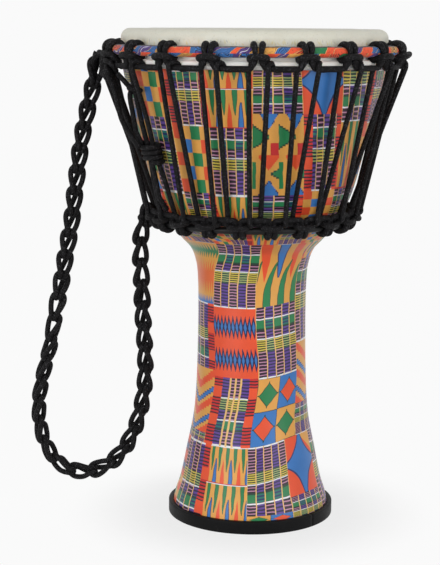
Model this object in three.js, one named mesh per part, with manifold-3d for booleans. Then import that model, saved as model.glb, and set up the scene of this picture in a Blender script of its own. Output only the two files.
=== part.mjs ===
// A travel djembe: a goblet drum whose skin is pulled down by rope. Millimetres, +Z up.
// The origin is the middle of the foot on the floor. -Y is the player's side, the strap hangs at -X.

import * as THREE from 'three';
import { mergeVertices } from 'three/addons/utils/BufferGeometryUtils.js';
import Module from 'manifold-3d';

// Driving dimensions
const OVERALL_HEIGHT = 500;
const HITCHES = 20;
const FACETS = 40;
const ROPE_SIDES = 5;
const GAP = 0.3;

// Shell
const SHELL_WALL = 5;
const RIM_RADIUS = 132.5;
const RIM_ROUND = 7.7;
const RIM_LIP = 3.2;
const BOWL_TOP_DROP = 39;
const BOWL_UNDERSIDE = 308;
const SHELL_FOOT_RADIUS = 81.4;
const SHELL_LIFT = 3.3;

// Skin and its hidden steel ring
const SKIN = 1.0;
const FLESH_ROD = 6;
const FLESH_DROP = 33.1;

// Crown ring, its cloth, and the ring under the bowl
const CROWN_ROD = 7;
const CROWN_CLOTH = 0.65;
const CROWN_CLOTH_PLAY = 0.55;
const CROWN_DROP = 20.7;
const LOWER_ROD = 7;
const LOWER_RING_STANDOFF = 9.2;

// Rope
const ROPE = 4.2;
const ROPE_PLAY = 0.3;
const TOP_BAR_OUT = 4.7;
const TOP_BAR_FALL = 15.1;
const LOWER_BAR_OUT = 8.2;
const LOWER_BAR_RISE = 11.2;

// Foot band
const FOOT_BAND_WALL = 3.7;
const FOOT_BAND_HEIGHT = 13;
const FOOT_BAND_FLOOR = 3;
const FOOT_BAND_LIP = 4;
const FOOT_BUTT_GAP = 0.6;
const FOOT_BUTT_ANGLE = -43.4;

// Strap
const STRAP_WIDTH = 17.5;
const STRAP_THICKNESS = 11;
const STRAP_SIDES = 8;

// Shell's outside, as [radius, height] from the foot to the top of the bowl
const BOWL_TOP = OVERALL_HEIGHT - BOWL_TOP_DROP;
const SHELL_OUTLINE = [
  [SHELL_FOOT_RADIUS, SHELL_LIFT],
  [SHELL_FOOT_RADIUS - 2.4, 19],
  [SHELL_FOOT_RADIUS - 8, 36.5],
  [66.2, 71],
  [59.6, 105],
  [56.6, 145],
  [55.6, BOWL_UNDERSIDE - 66],
  [57.6, BOWL_UNDERSIDE - 44],
  [63.0, BOWL_UNDERSIDE - 29],
  [73.5, BOWL_UNDERSIDE - 17.5],
  [82.3, BOWL_UNDERSIDE - 5.5],
  [89.0, BOWL_UNDERSIDE + 4.5],
  [94.4, BOWL_UNDERSIDE + 14.5],
  [100.3, BOWL_UNDERSIDE + 28],
  [RIM_RADIUS - 15.3, BOWL_TOP - 62],
  [RIM_RADIUS - 0.5, BOWL_TOP],
];

function shellRadiusAt(z) {
  const above = SHELL_OUTLINE.findIndex((point) => point[1] >= z);
  if (above < 0) return RIM_RADIUS;
  const [upper, lower] = [SHELL_OUTLINE[above], SHELL_OUTLINE[Math.max(above - 1, 0)]];
  const share = upper[1] === lower[1] ? 0 : (z - lower[1]) / (upper[1] - lower[1]);
  return lower[0] + share * (upper[0] - lower[0]);
}

// The least radius at which a point at a height is a distance clear of the shell's outside.
function radiusClearOfShell(z, distance) {
  const steps = 40;
  let radius = 0;
  for (let i = -steps; i <= steps; i += 1) {
    const rise = (distance * i) / steps;
    radius = Math.max(radius, shellRadiusAt(z + rise) + Math.sqrt(distance ** 2 - rise ** 2));
  }
  return radius;
}

// Sizes that follow from the ones above
const FLESH_HEIGHT = OVERALL_HEIGHT - FLESH_DROP;
const CROWN_HEIGHT = OVERALL_HEIGHT - CROWN_DROP;
const SKIN_RADIUS = RIM_RADIUS + GAP + SKIN;
const SKIN_ROUND = RIM_ROUND + GAP + SKIN;
const FLESH_RADIUS = SKIN_RADIUS + GAP + FLESH_ROD / 2;
const CROWN_WRAP_RADIUS = CROWN_ROD / 2 + CROWN_CLOTH_PLAY + CROWN_CLOTH;
const CROWN_RADIUS = SKIN_RADIUS + GAP + ROPE + ROPE_PLAY + CROWN_WRAP_RADIUS;
const TOP_BAR_RADIUS = CROWN_RADIUS + TOP_BAR_OUT;
const TOP_BAR_HEIGHT = CROWN_HEIGHT - TOP_BAR_FALL;
const LOWER_RING_HEIGHT = BOWL_UNDERSIDE;
const LOWER_RING_RADIUS = radiusClearOfShell(LOWER_RING_HEIGHT, LOWER_RING_STANDOFF);
const LOWER_BAR_RADIUS = LOWER_RING_RADIUS + LOWER_BAR_OUT;
const LOWER_BAR_HEIGHT = LOWER_RING_HEIGHT + LOWER_BAR_RISE;
const HITCH_PITCH = 360 / HITCHES;

// Helpers

const radians = (degrees) => (degrees * Math.PI) / 180;

function arc(centreR, centreZ, radius, from, to, steps) {
  const points = [];
  for (let i = 0; i <= steps; i += 1) {
    const angle = radians(from + ((to - from) * i) / steps);
    points.push([centreR + radius * Math.cos(angle), centreZ + radius * Math.sin(angle)]);
  }
  return points;
}

// A point at a compass angle about the drum's axis, with its radius and height.
function around(angle, radius, z) {
  const a = radians(angle);
  return new THREE.Vector3(radius * Math.cos(a), radius * Math.sin(a), z);
}

// Turns a profile of [radius, height] points, counter-clockwise, about the drum's axis.
function revolve(profile, closes = true) {
  const points = profile.map(([r, z]) => new THREE.Vector2(Math.max(r, 0), z));
  if (closes) points.push(points[0].clone());
  const geometry = new THREE.LatheGeometry(points, FACETS);
  geometry.rotateX(Math.PI / 2);
  return geometry;
}

// Moves each point of an open profile sideways by a distance, to its left.
function offset(profile, distance) {
  return profile.map((point, i) => {
    const before = profile[Math.max(i - 1, 0)];
    const after = profile[Math.min(i + 1, profile.length - 1)];
    const run = Math.hypot(after[0] - before[0], after[1] - before[1]);
    const left = [-(after[1] - before[1]) / run, (after[0] - before[0]) / run];
    return [point[0] + distance * left[0], point[1] + distance * left[1]];
  });
}

// Carries a ring of points along stations. Section gives its half width and half depth at each one.
function sweep(stations, { closed = false, sides = ROPE_SIDES, section, level = null }) {
  const n = stations.length;
  const at = (i) => stations[(i + n) % n];
  const tangents = stations.map((point, i) => {
    const before = closed || i > 0 ? at(i - 1) : point;
    const after = closed || i < n - 1 ? at(i + 1) : point;
    const into = point.clone().sub(before).normalize();
    const out = after.clone().sub(point).normalize();
    return into.add(out).normalize();
  });
  const normals = carriedNormals(tangents, level);
  const twist = closed ? closingTwist(tangents, normals) : 0;
  const positions = [];
  stations.forEach((point, i) => {
    const normal = normals[i].clone().applyAxisAngle(tangents[i], (twist * i) / n);
    const binormal = tangents[i].clone().cross(normal);
    const [halfWidth, halfDepth] = section(i);
    for (let s = 0; s < sides; s += 1) {
      const a = (2 * Math.PI * s) / sides;
      const spot = point.clone().addScaledVector(normal, halfWidth * Math.cos(a));
      spot.addScaledVector(binormal, halfDepth * Math.sin(a));
      positions.push(spot.x, spot.y, spot.z);
    }
  });
  const triangles = [];
  const spans = closed ? n : n - 1;
  for (let i = 0; i < spans; i += 1) {
    const j = (i + 1) % n;
    for (let s = 0; s < sides; s += 1) {
      const t = (s + 1) % sides;
      const corners = [i * sides + s, i * sides + t, j * sides + t, j * sides + s];
      triangles.push(corners[0], corners[1], corners[2], corners[0], corners[2], corners[3]);
    }
  }
  if (!closed) {
    const last = (n - 1) * sides;
    for (let s = 1; s < sides - 1; s += 1) {
      triangles.push(0, s + 1, s, last, last + s, last + s + 1);
    }
  }
  const geometry = new THREE.BufferGeometry();
  geometry.setAttribute('position', new THREE.Float32BufferAttribute(positions, 3));
  geometry.setIndex(triangles);
  geometry.computeVertexNormals();
  return geometry;
}

function carriedNormals(tangents, level) {
  const normals = [];
  tangents.forEach((tangent, i) => {
    const start = level ?? new THREE.Vector3(0, 0, 1);
    const carried = level || i === 0 ? start.clone() : normals[i - 1].clone();
    carried.addScaledVector(tangent, -carried.dot(tangent));
    normals.push(carried.normalize());
  });
  return normals;
}

// The turn that brings the last carried section round to meet the first one.
function closingTwist(tangents, normals) {
  const last = normals[normals.length - 1].clone();
  last.addScaledVector(tangents[0], -last.dot(tangents[0])).normalize();
  const side = tangents[0].clone().cross(last);
  return Math.atan2(normals[0].dot(side), normals[0].dot(last));
}

// The least gap between a rope's surface and another stretch of the same rope.
function leastGap(stations, closed, diameter) {
  const n = stations.length;
  const spans = closed ? n : n - 1;
  let least = Infinity;
  for (let i = 0; i < spans; i += 1) {
    for (let j = i + 3; j < spans; j += 1) {
      const apart = closed ? Math.min(j - i, n - (j - i)) : j - i;
      if (apart < 3) continue;
      const a = [stations[i], stations[(i + 1) % n]];
      const b = [stations[j], stations[(j + 1) % n]];
      if (a[0].distanceTo(b[0]) > 30 + a[0].distanceTo(a[1]) + b[0].distanceTo(b[1])) continue;
      least = Math.min(least, spanDistance(a, b));
    }
  }
  return least - diameter;
}

function spanDistance([p0, p1], [q0, q1]) {
  const steps = 12;
  let least = Infinity;
  const line = new THREE.Line3(q0, q1);
  const nearest = new THREE.Vector3();
  const point = new THREE.Vector3();
  for (let i = 0; i <= steps; i += 1) {
    point.lerpVectors(p0, p1, i / steps);
    line.closestPointToPoint(point, true, nearest);
    least = Math.min(least, point.distanceTo(nearest));
  }
  return least;
}

function rope(name, stations, closed) {
  const gap = leastGap(stations, closed, ROPE);
  console.log(`${name}: ${stations.length} stations, least gap to itself ${gap.toFixed(2)} mm`);
  return sweep(stations, { closed, section: () => [ROPE / 2, ROPE / 2] });
}

const drum = new THREE.Group();

function piece(name, geometry, material) {
  const mesh = new THREE.Mesh(geometry, material);
  mesh.name = name;
  drum.add(mesh);
  return mesh;
}

const finish = (color, roughness, metalness = 0) =>
  new THREE.MeshStandardMaterial({ color, roughness, metalness });

const printedCloth = finish(0xd8743a, 0.75);
const goatSkin = finish(0xd9d5c8, 0.6);
const zincSteel = finish(0x8c8f93, 0.4, 1);
const blackRope = finish(0x17171a, 0.85);
const blackRubber = finish(0x202021, 0.7);

// Shell: a goblet open from end to end. Its rim turns in to carry the skin on a round edge.

function shell() {
  const rimZ = OVERALL_HEIGHT - SKIN - GAP - RIM_ROUND;
  const crest = RIM_RADIUS - RIM_ROUND;
  const outer = [...SHELL_OUTLINE, [RIM_RADIUS, BOWL_TOP + SHELL_WALL * 2]];
  const rim = arc(crest, rimZ, RIM_ROUND, 0, 90, 3);
  const lip = arc(crest, rimZ + RIM_ROUND - RIM_LIP, RIM_LIP, 135, 180, 1);
  const underLip = [
    [crest - RIM_LIP, rimZ],
    [RIM_RADIUS - SHELL_WALL, rimZ - SHELL_WALL * 2],
  ];
  const inner = offset(outer, SHELL_WALL).slice(1, -1).reverse();
  const foot = [[SHELL_FOOT_RADIUS - SHELL_WALL, SHELL_LIFT]];
  return revolve([...outer, ...rim, ...lip, ...underLip, ...inner, ...foot]);
}

piece('shell', shell(), printedCloth);

// Skin: flat across the top, over the rim, down the side, and folded under and over the flesh ring.

function drumhead() {
  const top = OVERALL_HEIGHT;
  const crest = SKIN_RADIUS - SKIN_ROUND;
  const roundZ = top - SKIN_ROUND;
  const foldInside = FLESH_ROD / 2 + GAP;
  const fold = (radius) => arc(FLESH_RADIUS, FLESH_HEIGHT, radius, 180, 450, 6);
  const under = [[0, top - SKIN], ...arc(crest, roundZ, SKIN_ROUND - SKIN, 90, 0, 3)];
  const over = [...arc(crest, roundZ, SKIN_ROUND, 0, 90, 3), [0, top]];
  return revolve([...under, ...fold(foldInside + SKIN), ...fold(foldInside).reverse(), ...over], false);
}

piece('drumhead', drumhead(), goatSkin);

const rod = (radius, z, diameter, sides) =>
  revolve(arc(radius, z, diameter / 2, 0, 360, sides).slice(0, -1));

piece('flesh_ring', rod(FLESH_RADIUS, FLESH_HEIGHT, FLESH_ROD, 8), zincSteel);
piece('crown_ring', rod(CROWN_RADIUS, CROWN_HEIGHT, CROWN_ROD, 6), zincSteel);
piece('lower_ring', rod(LOWER_RING_RADIUS, LOWER_RING_HEIGHT, LOWER_ROD, 6), blackRope);

// Cloth on the crown ring: it goes round the rod and leaves its seam open towards the shell.

function crownCloth() {
  const seam = [-115, 200];
  const outside = arc(CROWN_RADIUS, CROWN_HEIGHT, CROWN_WRAP_RADIUS, ...seam, 7);
  const inside = arc(CROWN_RADIUS, CROWN_HEIGHT, CROWN_WRAP_RADIUS - CROWN_CLOTH, ...seam, 7);
  return revolve([...outside, ...inside.reverse()]);
}

piece('crown_ring_wrap', crownCloth(), printedCloth);

// Cow hitches: each half comes up a leg, over the ring, down behind it, under it and across the front
// as a band over both legs. Numbers are across (u), outwards (n) and up (w) from the ring's middle.

// The corner radius of a rope's six-sided way round a rod, so that its flats just clear the rod.
const wrapCorner = (rodRadius) => (rodRadius + ROPE_PLAY + ROPE / 2) / Math.cos(radians(30));

function hitchHalf({ corner, leg, widths, band }) {
  const turn = [-30, 30, 90, 150, 210, 270].map((angle, i) => [
    widths[i],
    corner * Math.cos(radians(angle)),
    corner * Math.sin(radians(angle)),
  ]);
  return [...leg, ...turn, ...band];
}

function placeHitch(half, angle, ringRadius, ringHeight, upward) {
  const place = ([u, n, w], side) => {
    const turned = angle + (side * u * 180) / (Math.PI * ringRadius);
    return around(turned, ringRadius + n, ringHeight + upward * w);
  };
  const left = half.map((point) => place(point, -1));
  const right = half.map((point) => place(point, 1)).reverse();
  return [...left, ...right];
}

function cradle({ ringRadius, ringHeight, upward, half, firstAngle, barRadius, barHeight }) {
  const stations = [];
  for (let k = 0; k < HITCHES; k += 1) {
    const angle = firstAngle + k * HITCH_PITCH;
    stations.push(around(angle - HITCH_PITCH / 2, barRadius, barHeight));
    stations.push(...placeHitch(half, angle, ringRadius, ringHeight, upward));
  }
  return stations;
}

const FIRST_HITCH = -90;

function topCradle() {
  const corner = wrapCorner(CROWN_WRAP_RADIUS);
  const front = corner * Math.cos(radians(30));
  const bandOut = front + ROPE + ROPE_PLAY * 3;
  const half = hitchHalf({
    corner,
    leg: [[7.0, TOP_BAR_RADIUS - CROWN_RADIUS, TOP_BAR_HEIGHT - CROWN_HEIGHT]],
    widths: [2.4, 3.2, 4.2, 4.6, 5.4, 8.0],
    band: [
      [9.0, front + 2.5, -5.2],
      [2.6, bandOut, -3.6],
    ],
  });
  // The leg's height is already measured from the ring, so the hitch isn't mirrored.
  return cradle({
    ringRadius: CROWN_RADIUS,
    ringHeight: CROWN_HEIGHT,
    upward: 1,
    half,
    firstAngle: FIRST_HITCH,
    barRadius: TOP_BAR_RADIUS,
    barHeight: TOP_BAR_HEIGHT,
  });
}

function lowerCradle() {
  const corner = wrapCorner(LOWER_ROD / 2);
  const front = corner * Math.cos(radians(30));
  const bandOut = front + ROPE + ROPE_PLAY * 3;
  const toBar = LOWER_RING_HEIGHT - LOWER_BAR_HEIGHT;
  const half = hitchHalf({
    corner,
    leg: [
      [8.6, LOWER_BAR_RADIUS - LOWER_RING_RADIUS, toBar],
      [2.6, front + 0.4, toBar + 1.6],
    ],
    widths: [2.4, 2.7, 3.4, 3.8, 4.4, 6.8],
    band: [
      [7.8, front + 3.0, -4.4],
      [2.6, bandOut, -3.2],
    ],
  });
  return cradle({
    ringRadius: LOWER_RING_RADIUS,
    ringHeight: LOWER_RING_HEIGHT,
    upward: -1,
    half,
    firstAngle: FIRST_HITCH + HITCH_PITCH / 2,
    barRadius: LOWER_BAR_RADIUS,
    barHeight: LOWER_BAR_HEIGHT,
  });
}

piece('top_cradle_rope', rope('top_cradle_rope', topCradle(), true), blackRope);
piece('lower_cradle_rope', rope('lower_cradle_rope', lowerCradle(), true), blackRope);

// Lacing: it goes over each top bar from the front, runs behind it, drops to the lower ring,
// and goes under each lower bar from the front to come up behind it.

const UPRIGHT_ANGLE = 3.45;
const LOWER_UPRIGHT_ANGLE = 2.9;
const FRONT_OF_BAR = ROPE + ROPE_PLAY + 0.2;
const BEHIND_BAR = ROPE + ROPE_PLAY + 0.25;

function topBight(angle) {
  const r = TOP_BAR_RADIUS;
  const z = TOP_BAR_HEIGHT;
  return [
    around(angle + UPRIGHT_ANGLE, r + FRONT_OF_BAR, z - 1.8),
    around(angle + UPRIGHT_ANGLE, r + FRONT_OF_BAR, z + 2.9),
    around(angle + UPRIGHT_ANGLE + 1.2, r - 0.2, z + 5.2),
    around(angle + UPRIGHT_ANGLE + 1.9, r - 4.6, z + 2.6),
    around(angle + UPRIGHT_ANGLE + 2.6, r - BEHIND_BAR, z - 0.9),
    around(angle + HITCH_PITCH / 2, r - BEHIND_BAR, z - 0.9),
    around(angle + HITCH_PITCH - UPRIGHT_ANGLE, r - BEHIND_BAR, z - 1.0),
  ];
}

function lowerBight(angle) {
  const r = LOWER_BAR_RADIUS;
  const z = LOWER_BAR_HEIGHT;
  return [
    around(angle - LOWER_UPRIGHT_ANGLE, r + FRONT_OF_BAR, z + 1.8),
    around(angle - LOWER_UPRIGHT_ANGLE + 0.2, r + FRONT_OF_BAR, z - 2.7),
    around(angle - LOWER_UPRIGHT_ANGLE + 0.8, r - 0.2, z - 5.2),
    around(angle - LOWER_UPRIGHT_ANGLE + 1.4, r - 4.5, z - 2.7),
    around(angle + LOWER_UPRIGHT_ANGLE, r - BEHIND_BAR, z + 1.8),
  ];
}

function lacing() {
  const stations = [];
  for (let k = 0; k < HITCHES; k += 1) {
    const angle = FIRST_HITCH + k * HITCH_PITCH;
    stations.push(...lowerBight(angle), ...topBight(angle));
  }
  return stations;
}

piece('lacing_rope', rope('lacing_rope', lacing(), true), blackRope);

// Foot band: a rubber channel under and round the foot, butted at one place.

function solidOf(wasm, geometry) {
  const bare = geometry.clone();
  bare.deleteAttribute('normal');
  bare.deleteAttribute('uv');
  const merged = mergeVertices(bare, 1e-4);
  return new wasm.Manifold(
    new wasm.Mesh({
      numProp: 3,
      vertProperties: merged.attributes.position.array,
      triVerts: Uint32Array.from(merged.index.array),
    }),
  );
}

function geometryOf(solid) {
  const mesh = solid.getMesh();
  const geometry = new THREE.BufferGeometry();
  geometry.setAttribute('position', new THREE.BufferAttribute(mesh.vertProperties, 3));
  geometry.setIndex(new THREE.BufferAttribute(mesh.triVerts, 1));
  geometry.computeVertexNormals();
  return geometry;
}

function footBand(wasm) {
  const chamfer = 0.9;
  const clear = GAP + 0.05;
  const inner = SHELL_FOOT_RADIUS - FOOT_BAND_LIP;
  const outer = SHELL_FOOT_RADIUS + clear + FOOT_BAND_WALL;
  const band = revolve([
    [inner, 0],
    [outer - chamfer, 0],
    [outer, chamfer],
    [outer, FOOT_BAND_HEIGHT - chamfer],
    [outer - chamfer, FOOT_BAND_HEIGHT],
    [shellRadiusAt(FOOT_BAND_HEIGHT) + clear, FOOT_BAND_HEIGHT],
    [SHELL_FOOT_RADIUS + clear, FOOT_BAND_FLOOR],
    [inner, FOOT_BAND_FLOOR],
  ]);
  const blade = new THREE.BoxGeometry(outer, FOOT_BUTT_GAP, FOOT_BAND_HEIGHT * 3);
  blade.translate(outer, 0, 0);
  blade.rotateZ(radians(FOOT_BUTT_ANGLE));
  return geometryOf(solidOf(wasm, band).subtract(solidOf(wasm, blade)));
}

const wasm = await Module();
wasm.setup();
piece('foot_band', footBand(wasm), blackRubber);

// Spare rope: the lacing's spare end, a turn round one upright, then a knot of turns round two.

const SPARE_HITCH = FIRST_HITCH - 3 * HITCH_PITCH;
const KNOT_TURNS = 3;
const KNOT_PITCH = 4.8;
const LOOP_DROP = 20.2;
const KNOT_DROP = 80.2;

// The middle of an upright at a height: those left of a hitch lean less than those right of it.
function upright(side, z) {
  const angles = [side * LOWER_UPRIGHT_ANGLE, side * UPRIGHT_ANGLE];
  const feet = LOWER_BAR_RADIUS + (side < 0 ? FRONT_OF_BAR : -BEHIND_BAR);
  const heads = TOP_BAR_RADIUS + (side < 0 ? -BEHIND_BAR : FRONT_OF_BAR);
  const share = (z - LOWER_BAR_HEIGHT - 1.8) / (TOP_BAR_HEIGHT - LOWER_BAR_HEIGHT - 3.2);
  const angle = SPARE_HITCH + angles[0] + share * (angles[1] - angles[0]);
  return { angle, radius: feet + share * (heads - feet) };
}

function spareRope() {
  const beside = (side, z, across, out) => {
    const middle = upright(side, z);
    const turned = middle.angle + (across * 180) / (Math.PI * middle.radius);
    return around(turned, middle.radius + out, z);
  };
  const stations = [];
  const barAngle = SPARE_HITCH - HITCH_PITCH / 2;
  const loopTop = TOP_BAR_HEIGHT - LOOP_DROP;
  const knotTop = TOP_BAR_HEIGHT - KNOT_DROP;
  stations.push(around(barAngle, TOP_BAR_RADIUS + 1.5, TOP_BAR_HEIGHT - ROPE - 3.5));
  stations.push(beside(-1, loopTop + 6, -9.5, 4.8));
  const loopRadius = (ROPE + 0.5) / Math.cos(radians(30));
  for (let i = 0; i <= 6; i += 1) {
    const a = radians(150 - i * 60);
    const z = loopTop - i * 0.9;
    stations.push(beside(-1, z, loopRadius * Math.cos(a), loopRadius * Math.sin(a)));
  }
  stations.push(beside(-1, loopTop - 14, -4.9, 4.6));
  stations.push(beside(-1, knotTop + 10, -4.9, 5.6));
  const oval = [
    [-8.8, 6.2],
    [-12.7, 2.6],
    [-12.7, -2.6],
    [-8.8, -6.2],
    [8.8, -6.2],
    [12.7, -2.6],
    [12.7, 2.6],
    [8.8, 6.2],
  ];
  for (let i = 0; i < KNOT_TURNS * oval.length; i += 1) {
    const [across, out] = oval[i % oval.length];
    const z = knotTop - (i * KNOT_PITCH) / oval.length;
    const radius = (upright(-1, z).radius + upright(1, z).radius) / 2;
    const turned = SPARE_HITCH + (across * 180) / (Math.PI * radius);
    stations.push(around(turned, radius + out, z));
  }
  const tailTop = knotTop - (KNOT_TURNS + 1.5) * KNOT_PITCH;
  const tailFoot = LOWER_BAR_HEIGHT + ROPE + 0.4;
  for (let i = 0; i < 3; i += 1) {
    const z = THREE.MathUtils.lerp(tailTop, tailFoot, i / 3);
    stations.push(around(SPARE_HITCH, upright(-1, z).radius + 1.5, z));
  }
  stations.push(around(SPARE_HITCH, LOWER_BAR_RADIUS + 1.0, tailFoot));
  return stations;
}

piece('spare_rope', rope('spare_rope', spareRope(), false), blackRope);

// Strap: a crocheted rope that hangs between the top hitch at -X and the lower bar below it.
// Its stations are [x, z], with y where it leaves the middle plane.

const STRAP_ROUTE = [
  [-158.4, 475.7],
  [-159.6, 475.3],
  [-162.0, 472.8],
  [-163.4, 467.5],
  [-165.6, 452.0],
  [-169.0, 435.2],
  [-174.7, 404.1],
  [-179.2, 380.0],
  [-184.0, 341.0],
  [-188.8, 304.0],
  [-194.6, 272.0],
  [-202.4, 224.0],
  [-210.0, 178.0],
  [-217.4, 145.0],
  [-221.4, 112.0],
  [-218.6, 84.0],
  [-209.4, 60.5],
  [-193.4, 45.0],
  [-171.5, 40.5],
  [-148.8, 48.0],
  [-131.6, 65.5],
  [-119.4, 90.0],
  [-111.8, 121.0],
  [-109.6, 149.0],
  [-110.4, 180.0],
  [-112.4, 212.0],
  [-114.2, 244.0],
  [-115.0, 268.0],
  [-114.6, 288.0],
  [-113.6, 303.0],
  [-111.9, 314.0, -1.4],
  [-109.4, 317.3, -2.2],
  [-108.3, 318.3, -2.4],
];
const STRAP_SWELL = 34;
const STRAP_TIP = 2;

function strap() {
  const route = STRAP_ROUTE.map(([x, z, y = 0]) => new THREE.Vector3(x, y, z));
  const run = [0];
  for (let i = 1; i < route.length; i += 1) run.push(run[i - 1] + route[i].distanceTo(route[i - 1]));
  const total = run[run.length - 1];
  console.log(`carry_strap: ${total.toFixed(0)} mm between its tie points`);
  const section = (i) => {
    const inside = Math.min(run[i], total - run[i]);
    if (inside < 1e-6) return [STRAP_TIP / 2, STRAP_TIP / 2];
    const share = THREE.MathUtils.smoothstep(inside, ROPE * 2, STRAP_SWELL);
    const width = THREE.MathUtils.lerp(ROPE, STRAP_WIDTH, share);
    const thickness = THREE.MathUtils.lerp(ROPE, STRAP_THICKNESS, share);
    return [thickness / 2, width / 2];
  };
  return sweep(route, { sides: STRAP_SIDES, section, level: new THREE.Vector3(0, 1, 0) });
}

piece('carry_strap', strap(), blackRope);

export default drum;
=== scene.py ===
# %% [markdown]
# # A travel djembe
# The drum is a printed goblet with a goat skin, held tight by black rope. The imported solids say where
# every piece is. This script dresses them: each new piece is a surface worked out from two parameters,
# and it stays where its solid is.

import math

import bpy
import numpy as np
from mathutils import Matrix, Vector


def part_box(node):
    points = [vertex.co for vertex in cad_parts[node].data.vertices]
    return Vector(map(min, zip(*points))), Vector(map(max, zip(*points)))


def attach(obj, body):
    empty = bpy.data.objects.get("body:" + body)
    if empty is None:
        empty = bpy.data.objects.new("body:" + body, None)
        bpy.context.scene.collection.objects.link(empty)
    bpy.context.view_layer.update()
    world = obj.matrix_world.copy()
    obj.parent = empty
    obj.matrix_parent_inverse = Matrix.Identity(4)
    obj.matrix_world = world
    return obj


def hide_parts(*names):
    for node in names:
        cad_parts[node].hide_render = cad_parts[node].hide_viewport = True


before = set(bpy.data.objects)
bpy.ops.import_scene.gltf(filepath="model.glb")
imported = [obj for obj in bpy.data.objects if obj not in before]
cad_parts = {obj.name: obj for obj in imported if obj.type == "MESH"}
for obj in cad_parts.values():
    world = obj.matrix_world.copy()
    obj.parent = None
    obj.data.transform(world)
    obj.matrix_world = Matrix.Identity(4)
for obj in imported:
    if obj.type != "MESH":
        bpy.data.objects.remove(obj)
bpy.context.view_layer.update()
MM = 0.001
print("solids:", sorted(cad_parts))

# %% [markdown]
# ## Camera
# The photograph looks a little down on the drum from 1.6 m with a long lens. The yaw and the small roll
# bring the drum's axis onto the same two pixels, at the head and at the foot.

# %% Camera
PHOTO_HEIGHT, FOCAL_PIXELS = 565, 1568
CAMERA_AZIMUTH, CAMERA_DISTANCE, CAMERA_HEIGHT = -91.4, 1592 * MM, 508 * MM
CAMERA_YAW, CAMERA_PITCH, CAMERA_ROLL = 89.7906, 9.5, 0.3474


def camera_axes(yaw, pitch, roll):
    """Right, up and back of a camera that looks along yaw, down by pitch, turned about its view by roll."""
    a, e, r = (math.radians(v) for v in (yaw, pitch, roll))
    forward = np.array([math.cos(a) * math.cos(e), math.sin(a) * math.cos(e), -math.sin(e)])
    right = np.array([math.sin(a), -math.cos(a), 0.0])
    up = np.cross(right, forward)
    return right * math.cos(r) + up * math.sin(r), up * math.cos(r) - right * math.sin(r), -forward


eye = bpy.data.cameras.new("studio_camera")
eye.sensor_width = 36
eye.lens = FOCAL_PIXELS * eye.sensor_width / PHOTO_HEIGHT
eye.clip_start, eye.clip_end = 0.05, 30
camera = bpy.data.objects.new("studio_camera", eye)
bpy.context.scene.collection.objects.link(camera)
bpy.context.scene.camera = camera
matrix = np.eye(4)
matrix[:3, :3] = np.array(camera_axes(CAMERA_YAW, CAMERA_PITCH, CAMERA_ROLL)).T
bearing = math.radians(CAMERA_AZIMUTH)
matrix[:3, 3] = [CAMERA_DISTANCE * math.cos(bearing), CAMERA_DISTANCE * math.sin(bearing), CAMERA_HEIGHT]
camera.matrix_world = Matrix(matrix.tolist())
print("lens", round(eye.lens, 2), "mm")

# %% [markdown]
# ## Surfaces from grids
# Every piece below is a grid of points, n rows of m points round each row. The helper joins
# neighbours into four-sided faces, closes the ends, and keeps a UV map. U goes once round a row and V
# holds a length or a share that the piece gives.

# %% A grid becomes a mesh


def grid_mesh(name, rows, closed_rows=False, v=None):
    """Each point meets the next one round its row and the same one in the next row. Where the rows don't
    close on themselves, a fan of triangles from the end row's middle closes each end. Rows go round
    counter-clockwise about the way in which they follow each other, so faces point out."""
    rows = np.asarray(rows, float)
    n, m, _ = rows.shape
    v = np.arange(n + 1, dtype=float) if v is None else np.asarray(v, float)
    i = np.arange(n if closed_rows else n - 1)
    s = np.arange(m)
    i, s = (a.ravel() for a in np.meshgrid(i, s, indexing="ij"))
    j, t = (i + 1) % n, (s + 1) % m
    quads = np.stack([i * m + s, i * m + t, j * m + t, j * m + s], 1)
    quad_uv = np.stack([np.stack([s, v[i] * m], 1), np.stack([s + 1, v[i] * m], 1),
                        np.stack([s + 1, v[i + 1] * m], 1), np.stack([s, v[i + 1] * m], 1)], 1) / m
    points, uvs = rows.reshape(-1, 3), quad_uv.reshape(-1, 2)
    corners, starts = quads.ravel(), np.arange(len(quads)) * 4
    if not closed_rows:
        points = np.vstack([points, rows[0].mean(0), rows[-1].mean(0)])
        s = np.arange(m)
        first = np.stack([s, np.full(m, n * m), (s + 1) % m], 1)
        last = np.stack([(n - 1) * m + s, (n - 1) * m + (s + 1) % m, np.full(m, n * m + 1)], 1)
        fans = np.vstack([first, last])
        ends = ((s, s + 0.5, s + 1), v[0]), ((s, s + 1, s + 0.5), v[n - 1])
        fan_uvs = [np.stack([np.stack([p / m, 0 * s + end], 1) for p in places], 1) for places, end in ends]
        starts = np.concatenate([starts, len(corners) + np.arange(2 * m) * 3])
        corners = np.concatenate([corners, fans.ravel()])
        uvs = np.vstack([uvs, *(a.reshape(-1, 2) for a in fan_uvs)])
    mesh = bpy.data.meshes.new(name)
    mesh.vertices.add(len(points))
    mesh.vertices.foreach_set("co", (points * MM).astype(np.float32).ravel())
    mesh.loops.add(len(corners))
    mesh.loops.foreach_set("vertex_index", corners.astype(np.int32))
    mesh.polygons.add(len(starts))
    mesh.polygons.foreach_set("loop_start", starts.astype(np.int32))
    mesh.update(calc_edges=True)
    mesh.uv_layers.new(name="along").data.foreach_set("uv", uvs.astype(np.float32).ravel())
    mesh.polygons.foreach_set("use_smooth", np.ones(len(starts), bool))
    mesh.validate()
    piece = bpy.data.objects.new(name, mesh)
    bpy.context.scene.collection.objects.link(piece)
    print(f"{name}: {len(points)} points, {len(corners) - 2 * len(starts)} triangles")
    return piece


def stand_in(piece, node=None, body="drum"):
    """Hides the solid a piece replaces, if any, and sets what it rides on."""
    if node:
        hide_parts(node)
    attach(piece, body)
    return piece


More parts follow.
